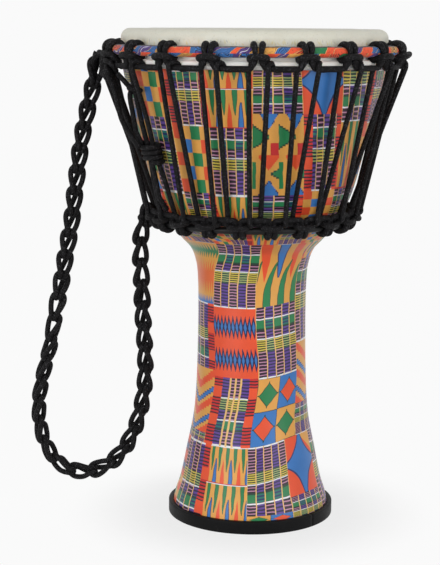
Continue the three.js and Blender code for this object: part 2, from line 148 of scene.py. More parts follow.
# %% [markdown]
# ## Round rope
# Rope is a circle carried along a smooth line through the same stations as the solid's. The line is a
# spline of unequal steps: long straight runs get a station close to each end first, so that the curve
# of a hitch doesn't bow the straight rope next to it.

# %% A smooth line through stations
LONG_RUN, HOLD_REACH, COARSE_RUN = 12, 3, 14


def hold_straight(stations, closed):
    """Adds a point a short reach from both ends of each long run."""
    stations = np.asarray(stations, float)
    after = np.roll(stations, -1, axis=0)
    run = np.linalg.norm(after - stations, axis=1)
    if not closed:
        run[-1] = 0
    reach = (after - stations) / np.maximum(run, 1e-9)[:, None] * HOLD_REACH
    long = run > LONG_RUN
    held = np.stack([stations, stations + reach, after - reach], 1)
    keep = np.stack([np.ones(len(run), bool), long, long], 1)
    return held[keep]


def smooth_line(stations, step=1.5, closed=False, straight_step=9.0):
    """Between two stations the line is a cubic whose slopes at both ends come from the three nearest
    stations, weighted by the square root of their distances. Short runs are sampled finely and long
    ones coarsely."""
    p = np.asarray(stations, float)
    n = len(p)
    before, after = (np.roll(p, k, axis=0) for k in (1, -1))
    if not closed:
        before[0], after[-1] = 2 * p[0] - p[1], 2 * p[-1] - p[-2]
    gap_in, gap_out = (np.sqrt(np.linalg.norm(a, axis=1)) + 1e-9 for a in (p - before, after - p))
    slope = ((p - before) * (gap_out / gap_in)[:, None]
             + (after - p) * (gap_in / gap_out)[:, None]) / (gap_in + gap_out)[:, None]
    spans = n if closed else n - 1
    ends = np.roll(p, -1, axis=0)[:spans]
    end_slope = np.roll(slope, -1, axis=0)[:spans]
    length = np.linalg.norm(ends - p[:spans], axis=1)
    count = np.ceil(length / np.where(length > COARSE_RUN, straight_step, step)).astype(int).clip(1)
    span = np.repeat(np.arange(spans), count)
    t = (np.arange(count.sum()) - np.repeat(np.cumsum(count) - count, count)) / count[span]
    h = gap_out[:spans][span]
    t, h = t[:, None], h[:, None]
    line = ((2 * t**3 - 3 * t**2 + 1) * p[span] + (t**3 - 2 * t**2 + t) * h * slope[span]
            + (3 * t**2 - 2 * t**3) * ends[span] + (t**3 - t**2) * h * end_slope[span])
    return line if closed else np.vstack([line, p[-1]])


# %% A tube along a line


def tube_rows(line, radius, sides=10, closed=False):
    """Carries a circle along a line. The circle's first axis is carried from point to point by taking out
    what lies along the line, and a closed tube shares out the turn that is left over at the seam."""
    line = np.asarray(line, float)
    n = len(line)
    radius = np.broadcast_to(radius, n)[:, None]
    ahead = np.roll(line, -1, axis=0) - np.roll(line, 1, axis=0)
    if not closed:
        ahead[0], ahead[-1] = line[1] - line[0], line[-1] - line[-2]
    tangent = ahead / np.linalg.norm(ahead, axis=1)[:, None]
    normal = np.zeros_like(line)
    carried = np.array([0, 0, 1.0])
    for i in range(n):
        carried = carried - (carried @ tangent[i]) * tangent[i]
        carried = carried / np.linalg.norm(carried)
        normal[i] = carried
    if closed:
        last = normal[-1] - (normal[-1] @ tangent[0]) * tangent[0]
        side = np.cross(tangent[0], last)
        left_over = math.atan2(normal[0] @ side, normal[0] @ last)
        turn = (left_over * np.arange(n) / n)[:, None]
        normal = normal * np.cos(turn) + np.cross(tangent, normal) * np.sin(turn)
    a = (2 * math.pi * np.arange(sides) / sides)[:, None]
    return (line[:, None] + (normal * radius)[:, None] * np.cos(a)
            + (np.cross(tangent, normal) * radius)[:, None] * np.sin(a))


def run_length(line, closed=False):
    """Distance along a line at each point, and once more at the end of a closed one."""
    ends = np.vstack([line, line[:1]]) if closed else line
    return np.concatenate([[0], np.cumsum(np.linalg.norm(np.diff(ends, axis=0), axis=1))])


ROPE = 4.2
BRAID_PROUD = 0.2


def rope_piece(name, line, closed=False, sides=10, fuller=0.0):
    """A rope along a line, with its braid laid out on UV in rope widths. The braid's ridges stand a
    little proud of the solid rope, and where the rope is bent hard it is fuller by a share."""
    rows = tube_rows(line, (ROPE / 2 + BRAID_PROUD) * (1 + np.asarray(fuller)), sides=sides, closed=closed)
    run = run_length(np.asarray(line, float), closed)
    if not closed:
        run = np.append(run, run[-1])
    return grid_mesh(name, rows, closed_rows=closed, v=run / ROPE)


# %% [markdown]
# ## Strap
# The strap is a chain stitch of the same rope, made by pulling loop after loop through the last one.
# Seen from one side each stitch is a pair of strands that part and meet in a V, and from the other it is
# one bump. The stitch is written once, in its own frame, and laid along the strap's route. The chain is
# worked from the lower tie up, so it is laid on the route turned round.

# %% The strap's route
STRAP_ROUTE = np.array([
    (-158.4, 0, 475.7), (-159.2, 0, 474.6), (-159.8, 0, 472.2), (-159.6, 0, 467.5),
    (-160.4, 0, 452.0), (-164.4, 0, 435.2), (-171.6, 0, 404.1), (-175.8, 0, 380.0),
    (-181.0, 0, 341.0), (-185.6, 0, 304.0), (-191.4, 0, 272.0), (-199.4, 0, 224.0),
    (-207.4, 0, 178.0), (-215.6, 0, 145.0), (-220.8, 0, 112.0), (-218.6, 0, 84.0),
    (-209.4, 0, 60.5), (-193.4, 0, 45.0), (-171.5, 0, 40.5), (-148.8, 0, 48.0),
    (-131.6, 0, 65.5), (-119.4, 0, 90.0), (-111.8, 0, 121.0), (-109.6, 0, 149.0),
    (-110.4, 0, 180.0), (-112.4, 0, 212.0), (-114.2, 0, 244.0), (-115.4, 0, 268.0),
    (-115.0, 0, 288.0), (-113.6, 0, 303.0), (-111.9, -1.4, 314.0), (-109.4, -2.2, 317.3),
    (-108.3, -2.4, 318.3),
])
STRAP_WIDTH, STRAP_ROPE_FULLER, STRAP_STITCHES = 17.5, 0.2, 34
PLAIN_START, PLAIN_END = 11, 12
TURN_SHARES = (0, 0.09, 0.14, 0.38, 0.46, 0.6, 0.7, 1)
STITCH_TURNS = (24, 24, -16, -30, 66, 66, -16, -22)

# %% One chain stitch


def chain_stitch(pitch):
    """Stations of one stitch: along the strap, across it and out of it. The rope rises beside the middle,
    swings out to the left, comes round the tip of the loop, and returns below to the next stitch."""
    p = pitch
    rise = [(0, -2.4, 0), (1.4, -2.4, 3.4), (4.8, -2.6, 4.8), (p / 2 + 1, -5.2, 3.6), (p - 2, -6.6, 1.2),
            (p + 2.6, -5.6, 0), (p + 4.8, -3.4, 0)]
    fall = [(s, -a, b) for s, a, b in reversed(rise)]
    under = [(1.4, 2.4, -3.4), (4.8, 2.2, -4.8), (p / 2, 0, -5.2), (p - 3, -2.3, -4.0)]
    return np.array(rise + [(p + 5.6, 0, 0)] + fall + under)


def crochet_line(route, stitches, turns, start, end):
    """Lays stitches along a route. A stitch's own frame follows the route, and its face is turned
    about the route by an angle that goes evenly from each value to the next one's share of the route."""
    path = smooth_line(route, step=1.0, straight_step=1.0)
    run = run_length(path)
    tangent = np.gradient(path, run, axis=0)
    tangent /= np.linalg.norm(tangent, axis=1)[:, None]
    pitch = (run[-1] - start - end) / stitches
    one = chain_stitch(pitch)
    shift = np.repeat(np.arange(stitches), len(one)) * pitch
    s, a, b = np.tile(one, (stitches, 1)).T
    along = start + s + shift
    spot = np.stack([np.interp(along, run, path[:, k]) for k in range(3)], 1)
    ahead = np.stack([np.interp(along, run, tangent[:, k]) for k in range(3)], 1)
    ahead /= np.linalg.norm(ahead, axis=1)[:, None]
    face = np.array([0.0, -1.0, 0.0]) - (ahead @ np.array([0.0, -1.0, 0.0]))[:, None] * ahead
    face /= np.linalg.norm(face, axis=1)[:, None]
    across = np.cross(face, ahead)
    angle = np.radians(np.interp(along / run[-1], TURN_SHARES, turns))[:, None]
    face, across = (face * np.cos(angle) + across * np.sin(angle),
                    across * np.cos(angle) - face * np.sin(angle))
    chain = spot + across * a[:, None] + face * b[:, None]
    lead_in, lead_out = path[run < start - 3], path[run > run[-1] - end + 7]
    return np.vstack([lead_in[::3], chain, lead_out[::-3][::-1]]), run[-1], pitch


strap_stations, strap_length, stitch_pitch = crochet_line(
    STRAP_ROUTE[::-1], STRAP_STITCHES, STITCH_TURNS, PLAIN_START, PLAIN_END)
strap_line = smooth_line(strap_stations[::-1], step=1.6, straight_step=3)
strap = rope_piece("crochet_strap", strap_line, sides=9, fuller=STRAP_ROPE_FULLER)
stand_in(strap, "carry_strap", "strap")
print(f"strap {strap_length:.0f} mm, stitches of {stitch_pitch:.1f} mm")

# %% [markdown]
# ## Sizes of the drum
# These are the solids' own driving sizes, in millimetres, and what follows from them.

# %% Driving sizes
OVERALL_HEIGHT = 500
HITCHES = 20
PITCH = 360 / HITCHES
FIRST_HITCH = -90
GAP, ROPE_PLAY = 0.3, 0.3
RIM_RADIUS, RIM_ROUND, RIM_LIP, SHELL_WALL = 132.5, 7.7, 3.2, 5
FOOT_RADIUS, SHELL_LIFT = 81.4, 3.3
SKIN = 1.0
SKIN_RADIUS, SKIN_ROUND = RIM_RADIUS + GAP + SKIN, RIM_ROUND + GAP + SKIN
FLESH_ROD, FLESH_RADIUS, FLESH_HEIGHT = 6, 137.1, 466.9
WRAP_RADIUS = 4.7
CROWN_RADIUS, CROWN_HEIGHT = 143.3, 479.3
TOP_BAR_RADIUS, TOP_BAR_HEIGHT = 148.0, 464.2
LOWER_ROD = 7
lower_low, lower_high = (np.array(c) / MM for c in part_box("lower_ring"))
LOWER_RADIUS, LOWER_HEIGHT = lower_high[0] - LOWER_ROD / 2, 308
LOWER_BAR_RADIUS, LOWER_BAR_HEIGHT = LOWER_RADIUS + 8.2, LOWER_HEIGHT + 11.2
print("lower ring radius", round(LOWER_RADIUS, 2))


def around(angle, radius, z):
    """Points at compass angles about the drum's axis, in degrees."""
    a = np.radians(angle)
    return np.stack(np.broadcast_arrays(radius * np.cos(a), radius * np.sin(a), z), -1)


# %% [markdown]
# ## Cradles
# Each ring carries a rope with twenty cow hitches. Half a hitch comes up a leg, goes over the ring,
# down behind it, under it, and across the front as a band over both legs. The other half is its
# mirror image, and a bar leads to the next hitch.

# %% One half of a hitch


def hitch_half(turn_radius, leg, widths, band):
    """Stations across, out and up from the ring's middle. The turn is an arc about the ring from
    30 degrees below its front, over the top and behind, to straight below it."""
    angle = np.arange(-30, 271, 20)
    across = np.interp(angle, [-30, 30, 90, 150, 210, 270], widths)
    a = np.radians(angle)
    turn = np.stack([across, turn_radius * np.cos(a), turn_radius * np.sin(a)], 1)
    return np.vstack([leg, turn, band])


def cradle_line(ring_radius, ring_height, upward, half, first_angle, bar_radius, bar_height):
    """A bar's middle and a whole hitch, twenty times round the ring. A distance across the hitch becomes
    an angle about the drum."""
    both = np.vstack([half * [-1, 1, 1], half[::-1]])
    hitch = first_angle + np.arange(HITCHES)[:, None] * PITCH
    angle = hitch + np.degrees(both[:, 0] / ring_radius)
    hitches = around(angle, ring_radius + both[:, 1], ring_height + upward * both[:, 2])
    bars = around(hitch - PITCH / 2, bar_radius, bar_height)
    return np.concatenate([bars, hitches], 1).reshape(-1, 3)


# %% The two cradles
TOP_TURN = WRAP_RADIUS + ROPE_PLAY + ROPE / 2
top_half = hitch_half(TOP_TURN, leg=[(7.0, TOP_BAR_RADIUS - CROWN_RADIUS, TOP_BAR_HEIGHT - CROWN_HEIGHT)],
                      widths=[2.4, 3.2, 4.1, 4.5, 5.2, 6.4],
                      band=[(6.8, TOP_TURN + 2.7, -5.2), (2.4, TOP_TURN + 5.1, -4.0)])
top_line = cradle_line(CROWN_RADIUS, CROWN_HEIGHT, 1, top_half, FIRST_HITCH, TOP_BAR_RADIUS, TOP_BAR_HEIGHT)
top_smooth = smooth_line(hold_straight(top_line, True), 1.5, True)
over_ring = np.clip((top_smooth[:, 2] - CROWN_HEIGHT + 1) / 6, 0, 1)
in_leg = np.clip(1 - np.abs(top_smooth[:, 2] - CROWN_HEIGHT + 9) / 7, 0, 1)
top_cradle = rope_piece("top_cradle", top_smooth, closed=True, fuller=0.06 + 0.3 * over_ring + 0.75 * in_leg)

LOWER_TURN = LOWER_ROD / 2 + ROPE_PLAY + ROPE / 2
to_bar = LOWER_HEIGHT - LOWER_BAR_HEIGHT
lower_half = hitch_half(LOWER_TURN, leg=[(8.6, LOWER_BAR_RADIUS - LOWER_RADIUS, to_bar),
                                         (2.6, LOWER_TURN + 0.4, to_bar + 1.6)],
                        widths=[2.4, 2.7, 3.4, 3.8, 4.4, 6.8],
                        band=[(7.8, LOWER_TURN + 3.0, -4.4), (2.6, LOWER_TURN + 5.1, -3.2)])
lower_line = cradle_line(LOWER_RADIUS, LOWER_HEIGHT, -1, lower_half, FIRST_HITCH + PITCH / 2,
                         LOWER_BAR_RADIUS, LOWER_BAR_HEIGHT)
lower_smooth = smooth_line(hold_straight(lower_line, True), 1.5, True)
under_ring = np.clip((LOWER_HEIGHT + 1 - lower_smooth[:, 2]) / 6, 0, 1)
lower_cradle = rope_piece("lower_cradle", lower_smooth, closed=True, fuller=0.24 + 0.12 * under_ring)

# %% [markdown]
# A plain run of the same rope goes once round between the lower ring and the bars and fills the gap.

# %% Filling run
fill_angles = np.arange(0, 360, 1.5)
fill_sway = 0.5 * np.sin(np.radians(fill_angles * HITCHES))
fill_line = around(fill_angles, LOWER_RADIUS + 3.4 + fill_sway, LOWER_HEIGHT + 6.9 - fill_sway)
filling_run = rope_piece("filling_run", fill_line, closed=True, fuller=0.14)

# %% [markdown]
# ## Lacing
# One long rope runs up and down forty times. At the top it passes over a bar from the front and along
# behind it, and at the bottom it goes under a bar from the front and comes up behind it.

# %% The lacing
UPRIGHT, LOWER_UPRIGHT = 3.45, 2.9
FRONT, BEHIND = ROPE + ROPE_PLAY + 0.2, ROPE + ROPE_PLAY + 0.25


def lacing_line():
    """Stations of one up and down run as angle, radius and height, repeated at each hitch."""
    r, z = LOWER_BAR_RADIUS, LOWER_BAR_HEIGHT
    low = [(-LOWER_UPRIGHT, r + FRONT, z + 1.8), (0.2 - LOWER_UPRIGHT, r + FRONT, z - 2.7),
           (0.8 - LOWER_UPRIGHT, r - 0.2, z - 5.2), (1.4 - LOWER_UPRIGHT, r - 4.5, z - 2.7),
           (LOWER_UPRIGHT, r - BEHIND, z + 1.8)]
    r, z = TOP_BAR_RADIUS, TOP_BAR_HEIGHT
    high = [(UPRIGHT, r + FRONT, z - 1.8), (UPRIGHT, r + FRONT, z + 2.9), (UPRIGHT + 1.2, r - 0.2, z + 5.2),
            (UPRIGHT + 1.9, r - 4.6, z + 2.6), (UPRIGHT + 2.6, r - BEHIND, z - 0.9),
            (PITCH / 2, r - BEHIND, z - 0.9), (PITCH - UPRIGHT, r - BEHIND, z - 1.0)]
    one = np.array(low + high)
    hitch = FIRST_HITCH + np.arange(HITCHES)[:, None] * PITCH
    return around(hitch + one[:, 0], one[:, 1], one[:, 2]).reshape(-1, 3)


lacing_smooth = smooth_line(hold_straight(lacing_line(), True), 1.4, True, 4.0)

# %% [markdown]
# ## Spare rope
# The lacing's spare end hangs on the left: a turn round one upright, then a fat knot of turns round a
# pair of them, and a tail down to the lower bar.

# %% The spare rope
SPARE_HITCH = FIRST_HITCH - 3 * PITCH
KNOT_TURNS, KNOT_PITCH, KNOT_TOP = 4, 5.0, TOP_BAR_HEIGHT - 73.5


def upright(side, z):
    """Angle and radius of an upright's middle at a height, on the left or right of the spare's hitch."""
    feet = LOWER_BAR_RADIUS + (FRONT if side < 0 else -BEHIND)
    heads = TOP_BAR_RADIUS + (-BEHIND if side < 0 else FRONT)
    share = (z - LOWER_BAR_HEIGHT - 1.8) / (TOP_BAR_HEIGHT - LOWER_BAR_HEIGHT - 3.2)
    lean = side * (LOWER_UPRIGHT + share * (UPRIGHT - LOWER_UPRIGHT))
    return SPARE_HITCH + lean, feet + share * (heads - feet)


def beside(z, across, out):
    """A point across and out from the left upright at a height."""
    angle, radius = upright(-1, z)
    return around(angle + np.degrees(across / radius), radius + out, z)


def spare_line():
    """The start under the bar, a turn round the upright in six steps, ovals that climb down round the
    pair, and the tail."""
    loop_top, knot_top = TOP_BAR_HEIGHT - 20.2, KNOT_TOP
    loop = (ROPE + 0.5) / math.cos(math.radians(30))
    turn = np.radians(150 - 60 * np.arange(7))
    oval = np.array([(-5.4, 6.2), (-8.9, 2.8), (-8.9, -2.8), (-5.4, -6.0),
                     (5.4, -6.0), (8.9, -2.8), (8.9, 2.8), (5.4, 6.2)])
    i = np.arange(KNOT_TURNS * len(oval))
    z = knot_top - i * KNOT_PITCH / len(oval)
    across, out = oval[i % len(oval)].T
    radius = (upright(-1, z)[1] + upright(1, z)[1]) / 2
    tail_top, tail_foot = knot_top - (KNOT_TURNS + 1.5) * KNOT_PITCH, LOWER_BAR_HEIGHT + ROPE + 0.4
    tail = tail_top + (tail_foot - tail_top) * np.arange(3) / 3
    return np.vstack([
        around(SPARE_HITCH - PITCH / 2, TOP_BAR_RADIUS + 1.5, TOP_BAR_HEIGHT - ROPE - 3.5),
        beside(loop_top + 6, -9.5, 4.8),
        beside(loop_top - np.arange(7) * 0.9, loop * np.cos(turn), loop * np.sin(turn)),
        beside(loop_top - 14, -4.9, 4.6), beside(knot_top + 10, -4.9, 5.6),
        around(SPARE_HITCH + np.degrees(across / radius), radius + out, z),
        around(SPARE_HITCH, upright(-1, tail)[1] + 1.5, tail),
        around(SPARE_HITCH, LOWER_BAR_RADIUS + 1.0, tail_foot)])


spare = rope_piece("spare_end", smooth_line(hold_straight(spare_line(), False), 1.4), fuller=0.12)

# %% [markdown]
# The knot pulls its two uprights towards each other, so the lacing is bent there before it is made.

# %% Lacing, pinched by the knot
KNOT_MIDDLE = KNOT_TOP - KNOT_TURNS * KNOT_PITCH / 2


def pinched(line, closest=0.62, reach=34):
    """Near the knot's height the angle between a point and the spare's hitch is made smaller by a share
    that is most at the knot and fades out over the reach."""
    angle = np.degrees(np.arctan2(line[:, 1], line[:, 0]))
    off = (angle - SPARE_HITCH + 180) % 360 - 180
    near = np.clip(1 - np.abs(line[:, 2] - KNOT_MIDDLE) / reach, 0, 1)
    share = (1 - closest) * near * near * (3 - 2 * near) * (np.abs(off) < 6)
    return around(angle - off * share, np.hypot(line[:, 0], line[:, 1]), line[:, 2])


lacing = rope_piece("lacing", pinched(lacing_smooth), closed=True, fuller=0.1)

# %% [markdown]
# ## The strap's tie
# At its upper end the strap's rope is tied to the top bar in a bulky knot, and its spare end runs down
# beside the uprights to the spare rope's knot. The knot is a rope laid on a ring-shaped surface that
# it goes round three times while it goes through the hole seven times.

# %% Tie knot and its end
TIE_ANGLE, TIE_RADIUS, TIE_HEIGHT = -160.5, 151.5, 463.5


def wound_knot(ring_radius, tube_radius, flat, rounds=3, threads=7, samples=420):
    """Out from the middle by the ring's radius plus the tube's radius times a cosine, and sideways by the
    tube's radius times a sine: the rope turns round the ring while it threads through it."""
    t = np.linspace(0, 2 * math.pi, samples, endpoint=False)
    out = ring_radius + tube_radius * np.cos(threads * t)
    across, up = out * np.cos(rounds * t), out * np.sin(rounds * t)
    away = flat * tube_radius * np.sin(threads * t)
    return around(TIE_ANGLE + np.degrees(across / TIE_RADIUS), TIE_RADIUS + away, TIE_HEIGHT + 0.95 * up)


tie_knot = rope_piece("tie_knot", wound_knot(8.8, 4.4, 1.15), closed=True, fuller=0.08)
TIE_END = [(-158, 156.5, 458), (-155.6, 154.0, 449), (-154.8, 150.0, 438), (-155.4, 146.4, 425),
           (-155.0, 143.6, 413), (-151.6, 141.5, 403), (-147.6, 139.5, 394), (-145.0, 137.0, 386)]
tie_end = rope_piece("tie_end", smooth_line(around(*np.array(TIE_END).T), 1.5), fuller=0.12)
TIE_LOOP = [(-147, -12, 471), (-153, -9, 473.2), (-158.8, -7, 471), (-161.6, -4, 465), (-161.6, -1, 457.5),
            (-158.5, 0, 451.5), (-154, -1, 452.5), (-151.3, -4, 459), (-150.6, -7, 465), (-147.5, -10, 467)]
tie_loop = rope_piece("tie_loop", smooth_line(TIE_LOOP, 1.5, True), closed=True, fuller=0.2)
LOW_TIE = [(-103, -8, 320), (-107.5, -8, 323.4), (-112.0, -6, 319), (-112.6, -4, 309), (-109.5, -2, 300.5),
           (-105, -2, 301.5), (-104, -5, 310)]
low_tie = rope_piece("low_tie", smooth_line(LOW_TIE, 1.5, True), closed=True, fuller=0.2)
scene_ropes = [filling_run, tie_knot, tie_end, tie_loop, low_tie]
for piece in scene_ropes:
    stand_in(piece)

ropes = {"top_cradle_rope": top_cradle, "lower_cradle_rope": lower_cradle, "lacing_rope": lacing,
         "spare_rope": spare}
for node, piece in ropes.items():
    stand_in(piece, node)

# %% [markdown]
# ## Turned pieces
# The skin, the rings and the foot band are profiles carried round the drum's axis. A profile is a row
# of radius and height, and goes round its section counter-clockwise, so the faces point out.

# %% Profiles


def arc(centre_r, centre_z, radius, start, end, steps):
    """Points on a circle about a centre, from one angle to another."""
    a = np.radians(np.linspace(start, end, steps + 1))
    return np.stack([centre_r + radius * np.cos(a), centre_z + radius * np.sin(a)], 1)


def turned_grid(profile, angles):
    """Each row is the whole profile at one angle about the axis."""
    profile = np.asarray(profile, float)
    return around(np.asarray(angles, float)[:, None], profile[None, :, 0], profile[None, :, 1])


# %% [markdown]
# ## Skin
# The goat skin lies flat on the rim, rounds it, and folds under the flesh ring. It was wet when it was
# drawn down, so its edge is a little uneven. The drum's middle is the pole of the grid.

# %% Skin
POLE_RADIUS, SKIN_SAG = 6, 0.35


def skin_rows():
    """Upper side and underside are one profile from the middle of the underside, out, down, round the
    fold and back over the top. Ripples of a third of a millimetre go round the side and the edge."""
    crest, round_z = SKIN_RADIUS - SKIN_ROUND, OVERALL_HEIGHT - SKIN_ROUND
    inside = FLESH_ROD / 2 + GAP
    flat = np.linspace((POLE_RADIUS, OVERALL_HEIGHT - SKIN), (crest, OVERALL_HEIGHT - SKIN), 12)
    under = np.vstack([flat[:-1], arc(crest, round_z, SKIN_ROUND - SKIN, 90, 0, 10)])
    side_in = np.stack([np.full(3, SKIN_RADIUS - SKIN), np.linspace(485, 470, 3)], 1)
    fold_out, fold_in = (arc(FLESH_RADIUS, FLESH_HEIGHT, radius, 180, 450, 20)
                         for radius in (inside + SKIN, inside))
    side_out = np.stack([np.full(3, SKIN_RADIUS), np.linspace(474, 488, 3)], 1)
    over = np.vstack([arc(crest, round_z, SKIN_ROUND, 0, 90, 12),
                      np.stack([np.linspace(crest - 4, POLE_RADIUS, 16), np.full(16, OVERALL_HEIGHT)], 1)])
    profile = np.vstack([under, side_in, fold_out, fold_in[::-1], side_out, over])
    angles = np.arange(0, 360, 2.0)
    rows = turned_grid(profile, angles)
    a = np.radians(angles)[:, None]
    ripple = 0.16 * np.sin(7 * a + 0.6) + 0.12 * np.sin(13 * a + 2.1) + 0.08 * np.sin(29 * a)
    share = np.clip((profile[:, 0] - 100) / 30, 0, 1)[None, :]
    rows[..., 2] -= (SKIN_SAG + ripple) * share * np.clip((profile[:, 1] - 480)[None, :] / 18, 0, 1)
    return rows.transpose(1, 0, 2)


skin = stand_in(grid_mesh("skin", skin_rows()), "drumhead")

# %% [markdown]
# ## Wrapped crown ring
# A strip of the printed cotton is wound round the steel ring. The hitches pinch it, and between them
# it is fuller. It is a closed tube round the drum, and its overlaps show as low slanting steps.

# %% Crown ring's cloth
CLOTH_STEP = 0.5


def crown_cloth_rows():
    """A ring tube whose radius swells between the hitches and steps down at each lap of the strip."""
    angles = np.arange(0, 360, CLOTH_STEP)
    around_tube = np.radians(np.arange(0, 360, 15.0))
    phase = ((angles - FIRST_HITCH) / PITCH) % 1
    swell = 0.75 * np.clip(np.sin(math.pi * phase), 0, 1) ** 0.7 * (np.abs(phase - 0.5) < 0.36)
    lap = ((angles / 6.0)[:, None] + around_tube[None, :] / (2 * math.pi)) % 1
    radius = WRAP_RADIUS - 0.1 + swell[:, None] * (0.7 + 0.3 * lap)
    out = CROWN_RADIUS + radius * np.cos(around_tube)
    up = CROWN_HEIGHT + radius * np.sin(around_tube)
    return around(angles[:, None], out, up)[:, ::-1]


cloth_rows = crown_cloth_rows()
cloth_bays = np.arange(len(cloth_rows) + 1) * CLOTH_STEP / PITCH
crown_cloth = grid_mesh("crown_cloth", cloth_rows, closed_rows=True, v=cloth_bays)
stand_in(crown_cloth, "crown_ring_wrap")

# %% Lower ring
ring_line = around(np.arange(0, 360, 2.0), LOWER_RADIUS, LOWER_HEIGHT)
ring_rows = tube_rows(ring_line, LOWER_ROD / 2, sides=14, closed=True)
lower_ring = grid_mesh("lower_rod", ring_rows, closed_rows=True)
stand_in(lower_ring, "lower_ring")

# %% [markdown]
# ## Foot band
# A strip of black rubber channel is pushed on the foot, and its two ends meet in a butt joint.
# It is one profile carried nearly all the way round, with both ends closed.

# %% Foot band
BAND_HEIGHT, BAND_FLOOR, BAND_LIP, BAND_WALL = 13, 3, 4, 3.7
BUTT_ANGLE, BUTT_GAP = -43.4, 0.6


def foot_band_rows():
    """The channel's section with rounded edges, from one side of the butt joint round to the other."""
    clear = GAP + 0.05
    outer = FOOT_RADIUS + clear + BAND_WALL
    top_in = FOOT_RADIUS - 2.4 * (BAND_HEIGHT - SHELL_LIFT) / (19 - SHELL_LIFT) + clear
    edge = 1.1
    profile = np.vstack([
        [(FOOT_RADIUS - BAND_LIP, 0)], arc(outer - edge, edge, edge, -90, 0, 4), [(outer, 4), (outer, 9)],
        arc(outer - edge, BAND_HEIGHT - edge, edge, 0, 90, 4),
        [(top_in + 0.5, BAND_HEIGHT), (top_in, BAND_HEIGHT - 0.5)],
        [(FOOT_RADIUS + clear, BAND_FLOOR), (FOOT_RADIUS - BAND_LIP, BAND_FLOOR)]])
    half_gap = math.degrees(BUTT_GAP / 2 / outer)
    angles = np.linspace(BUTT_ANGLE + half_gap, BUTT_ANGLE + 360 - half_gap, 181)
    return turned_grid(profile, angles)[:, ::-1]


foot_rows = foot_band_rows()
foot_band = grid_mesh("rubber_band", foot_rows, v=np.linspace(0, 540, len(foot_rows) + 1))
stand_in(foot_band, "foot_band")

# %% [markdown]
# ## Shell
# The shell is one turned wall, open at both ends. Its outside carries the printed cloth, so its grid has
# a line at every edge of a printed block, and each face keeps the block it belongs to.

# %% Shell's outline
OUTSIDE = np.array([
    (FOOT_RADIUS, SHELL_LIFT), (FOOT_RADIUS - 2.4, 19), (FOOT_RADIUS - 8, 36.5), (66.2, 71), (59.6, 105),
    (56.6, 145), (55.6, 242), (57.6, 264), (63.0, 279), (73.5, 290.5), (82.3, 302.5), (89.0, 312.5),
    (94.4, 322.5), (100.3, 336), (RIM_RADIUS - 15.3, 399), (RIM_RADIUS - 0.5, 461), (RIM_RADIUS, 471),
])


def outline_radius(z):
    """Radius of the outside at heights, on a smooth line through the outline's points."""
    line = smooth_line(OUTSIDE, step=0.5, straight_step=0.5)
    return np.interp(z, line[:, 1], line[:, 0])


print("outline at the neck", np.round(outline_radius(np.array([242.0, 279.0, 308.0])), 2))

# %% [markdown]
# ## Layout of the print
# The real cloth is printed with strips of unlike blocks, as woven strip cloth has. The layout below says,
# for three zones of the shell, how wide a strip is, and from which height each block starts. Bearings are
# degrees to the right of the drum's front. The bowl's strips are 20 degrees wide, and behind the drum
# those of its front come again in another order.

# %% Strips and blocks
RIM_TOP, BOWL_FLOOR, STEM_FLOOR = 491, 291, 83
BOWL_STRIPS = {
    -3: [(488, "checks"), (416, "lattice"), (342, "flames"), (306, "lattice")],
    -2: [(491, "flames"), (471, "striped_lattice"), (409, "checks"), (344, "edged_lattice"), (306, "checks")],
    -1: [(491, "lattice"), (470, "flames"), (445, "flames"), (408, "lattice"), (342, "flames"),
         (306, "edged_lattice")],
    0: [(491, "flames"), (478, "lattice_down"), (422, "steps"), (343, "edged_lattice"), (306, "flames")],
    1: [(491, "steps"), (483, "star"), (421, "striped_lattice"), (346, "checks"), (306, "lattice")],
    2: [(491, "lattice_down"), (414, "flames"), (346, "edged_lattice"), (306, "checks")],
}
BOWL_ORDER = [-1, 1, 0, -2, 2, -3]
STEM_STRIPS = [
    (-42, 6, [(291, "fine_lattice"), (224, "combs"), (153, "bars")]),
    (6, 54, [(291, "leaves"), (225, "fine_lattice"), (152, "diamonds")]),
    (54, 102, [(291, "flames"), (271, "fine_edged_lattice"), (181, "chevrons"), (116, "fine_lattice")]),
    (102, 150, [(291, "combs"), (229, "fine_lattice"), (152, "diamonds")]),
    (150, 198, [(291, "fine_lattice"), (223, "leaves"), (156, "bars")]),
    (198, 222, [(291, "fine_lattice"), (187, "fine_lattice")]),
    (222, 270, [(291, "leaves"), (227, "fine_lattice"), (156, "combs")]),
    (270, 318, [(291, "haze"), (226, "fine_edged_lattice_down"), (159, "chevrons"), (93, "fine_lattice")]),
]
FOOT_STRIPS = [
    (-68, -32, [(83, "fine_edged_lattice_down")]), (-32, 4, [(83, "fine_flames"), (46, "fine_flames")]),
    (4, 40, [(83, "fine_lattice_down"), (17, "diamonds")]), (40, 76, [(83, "star"), (27, "fine_lattice")]),
    (76, 112, [(83, "fine_edged_lattice")]), (112, 148, [(83, "fine_flames"), (44, "checks")]),
    (148, 184, [(83, "fine_lattice")]), (184, 220, [(83, "diamonds"), (40, "fine_flames")]),
    (220, 256, [(83, "fine_edged_lattice")]), (256, 292, [(83, "combs"), (40, "checks")]),
]


def block_list():
    """Every block as its two bearings, its two heights and its motif."""
    blocks = []

    def add(left, right, rows, floor):
        heights = [row[0] for row in rows] + [floor]
        blocks.extend((left, right, heights[i], heights[i + 1], rows[i][1]) for i in range(len(rows)))

    for k in range(-3, 15):
        add(-2 + 20 * k, 18 + 20 * k, BOWL_STRIPS[k if k < 3 else BOWL_ORDER[k % 6]], BOWL_FLOOR)
    for left, right, rows in STEM_STRIPS:
        add(left, right, rows, STEM_FLOOR)
    for left, right, rows in FOOT_STRIPS:
        add(left, right, rows, SHELL_LIFT)
    return blocks


BLOCKS = block_list()
MOTIFS = sorted({block[4] for block in BLOCKS})
print(len(BLOCKS), "blocks of", MOTIFS)

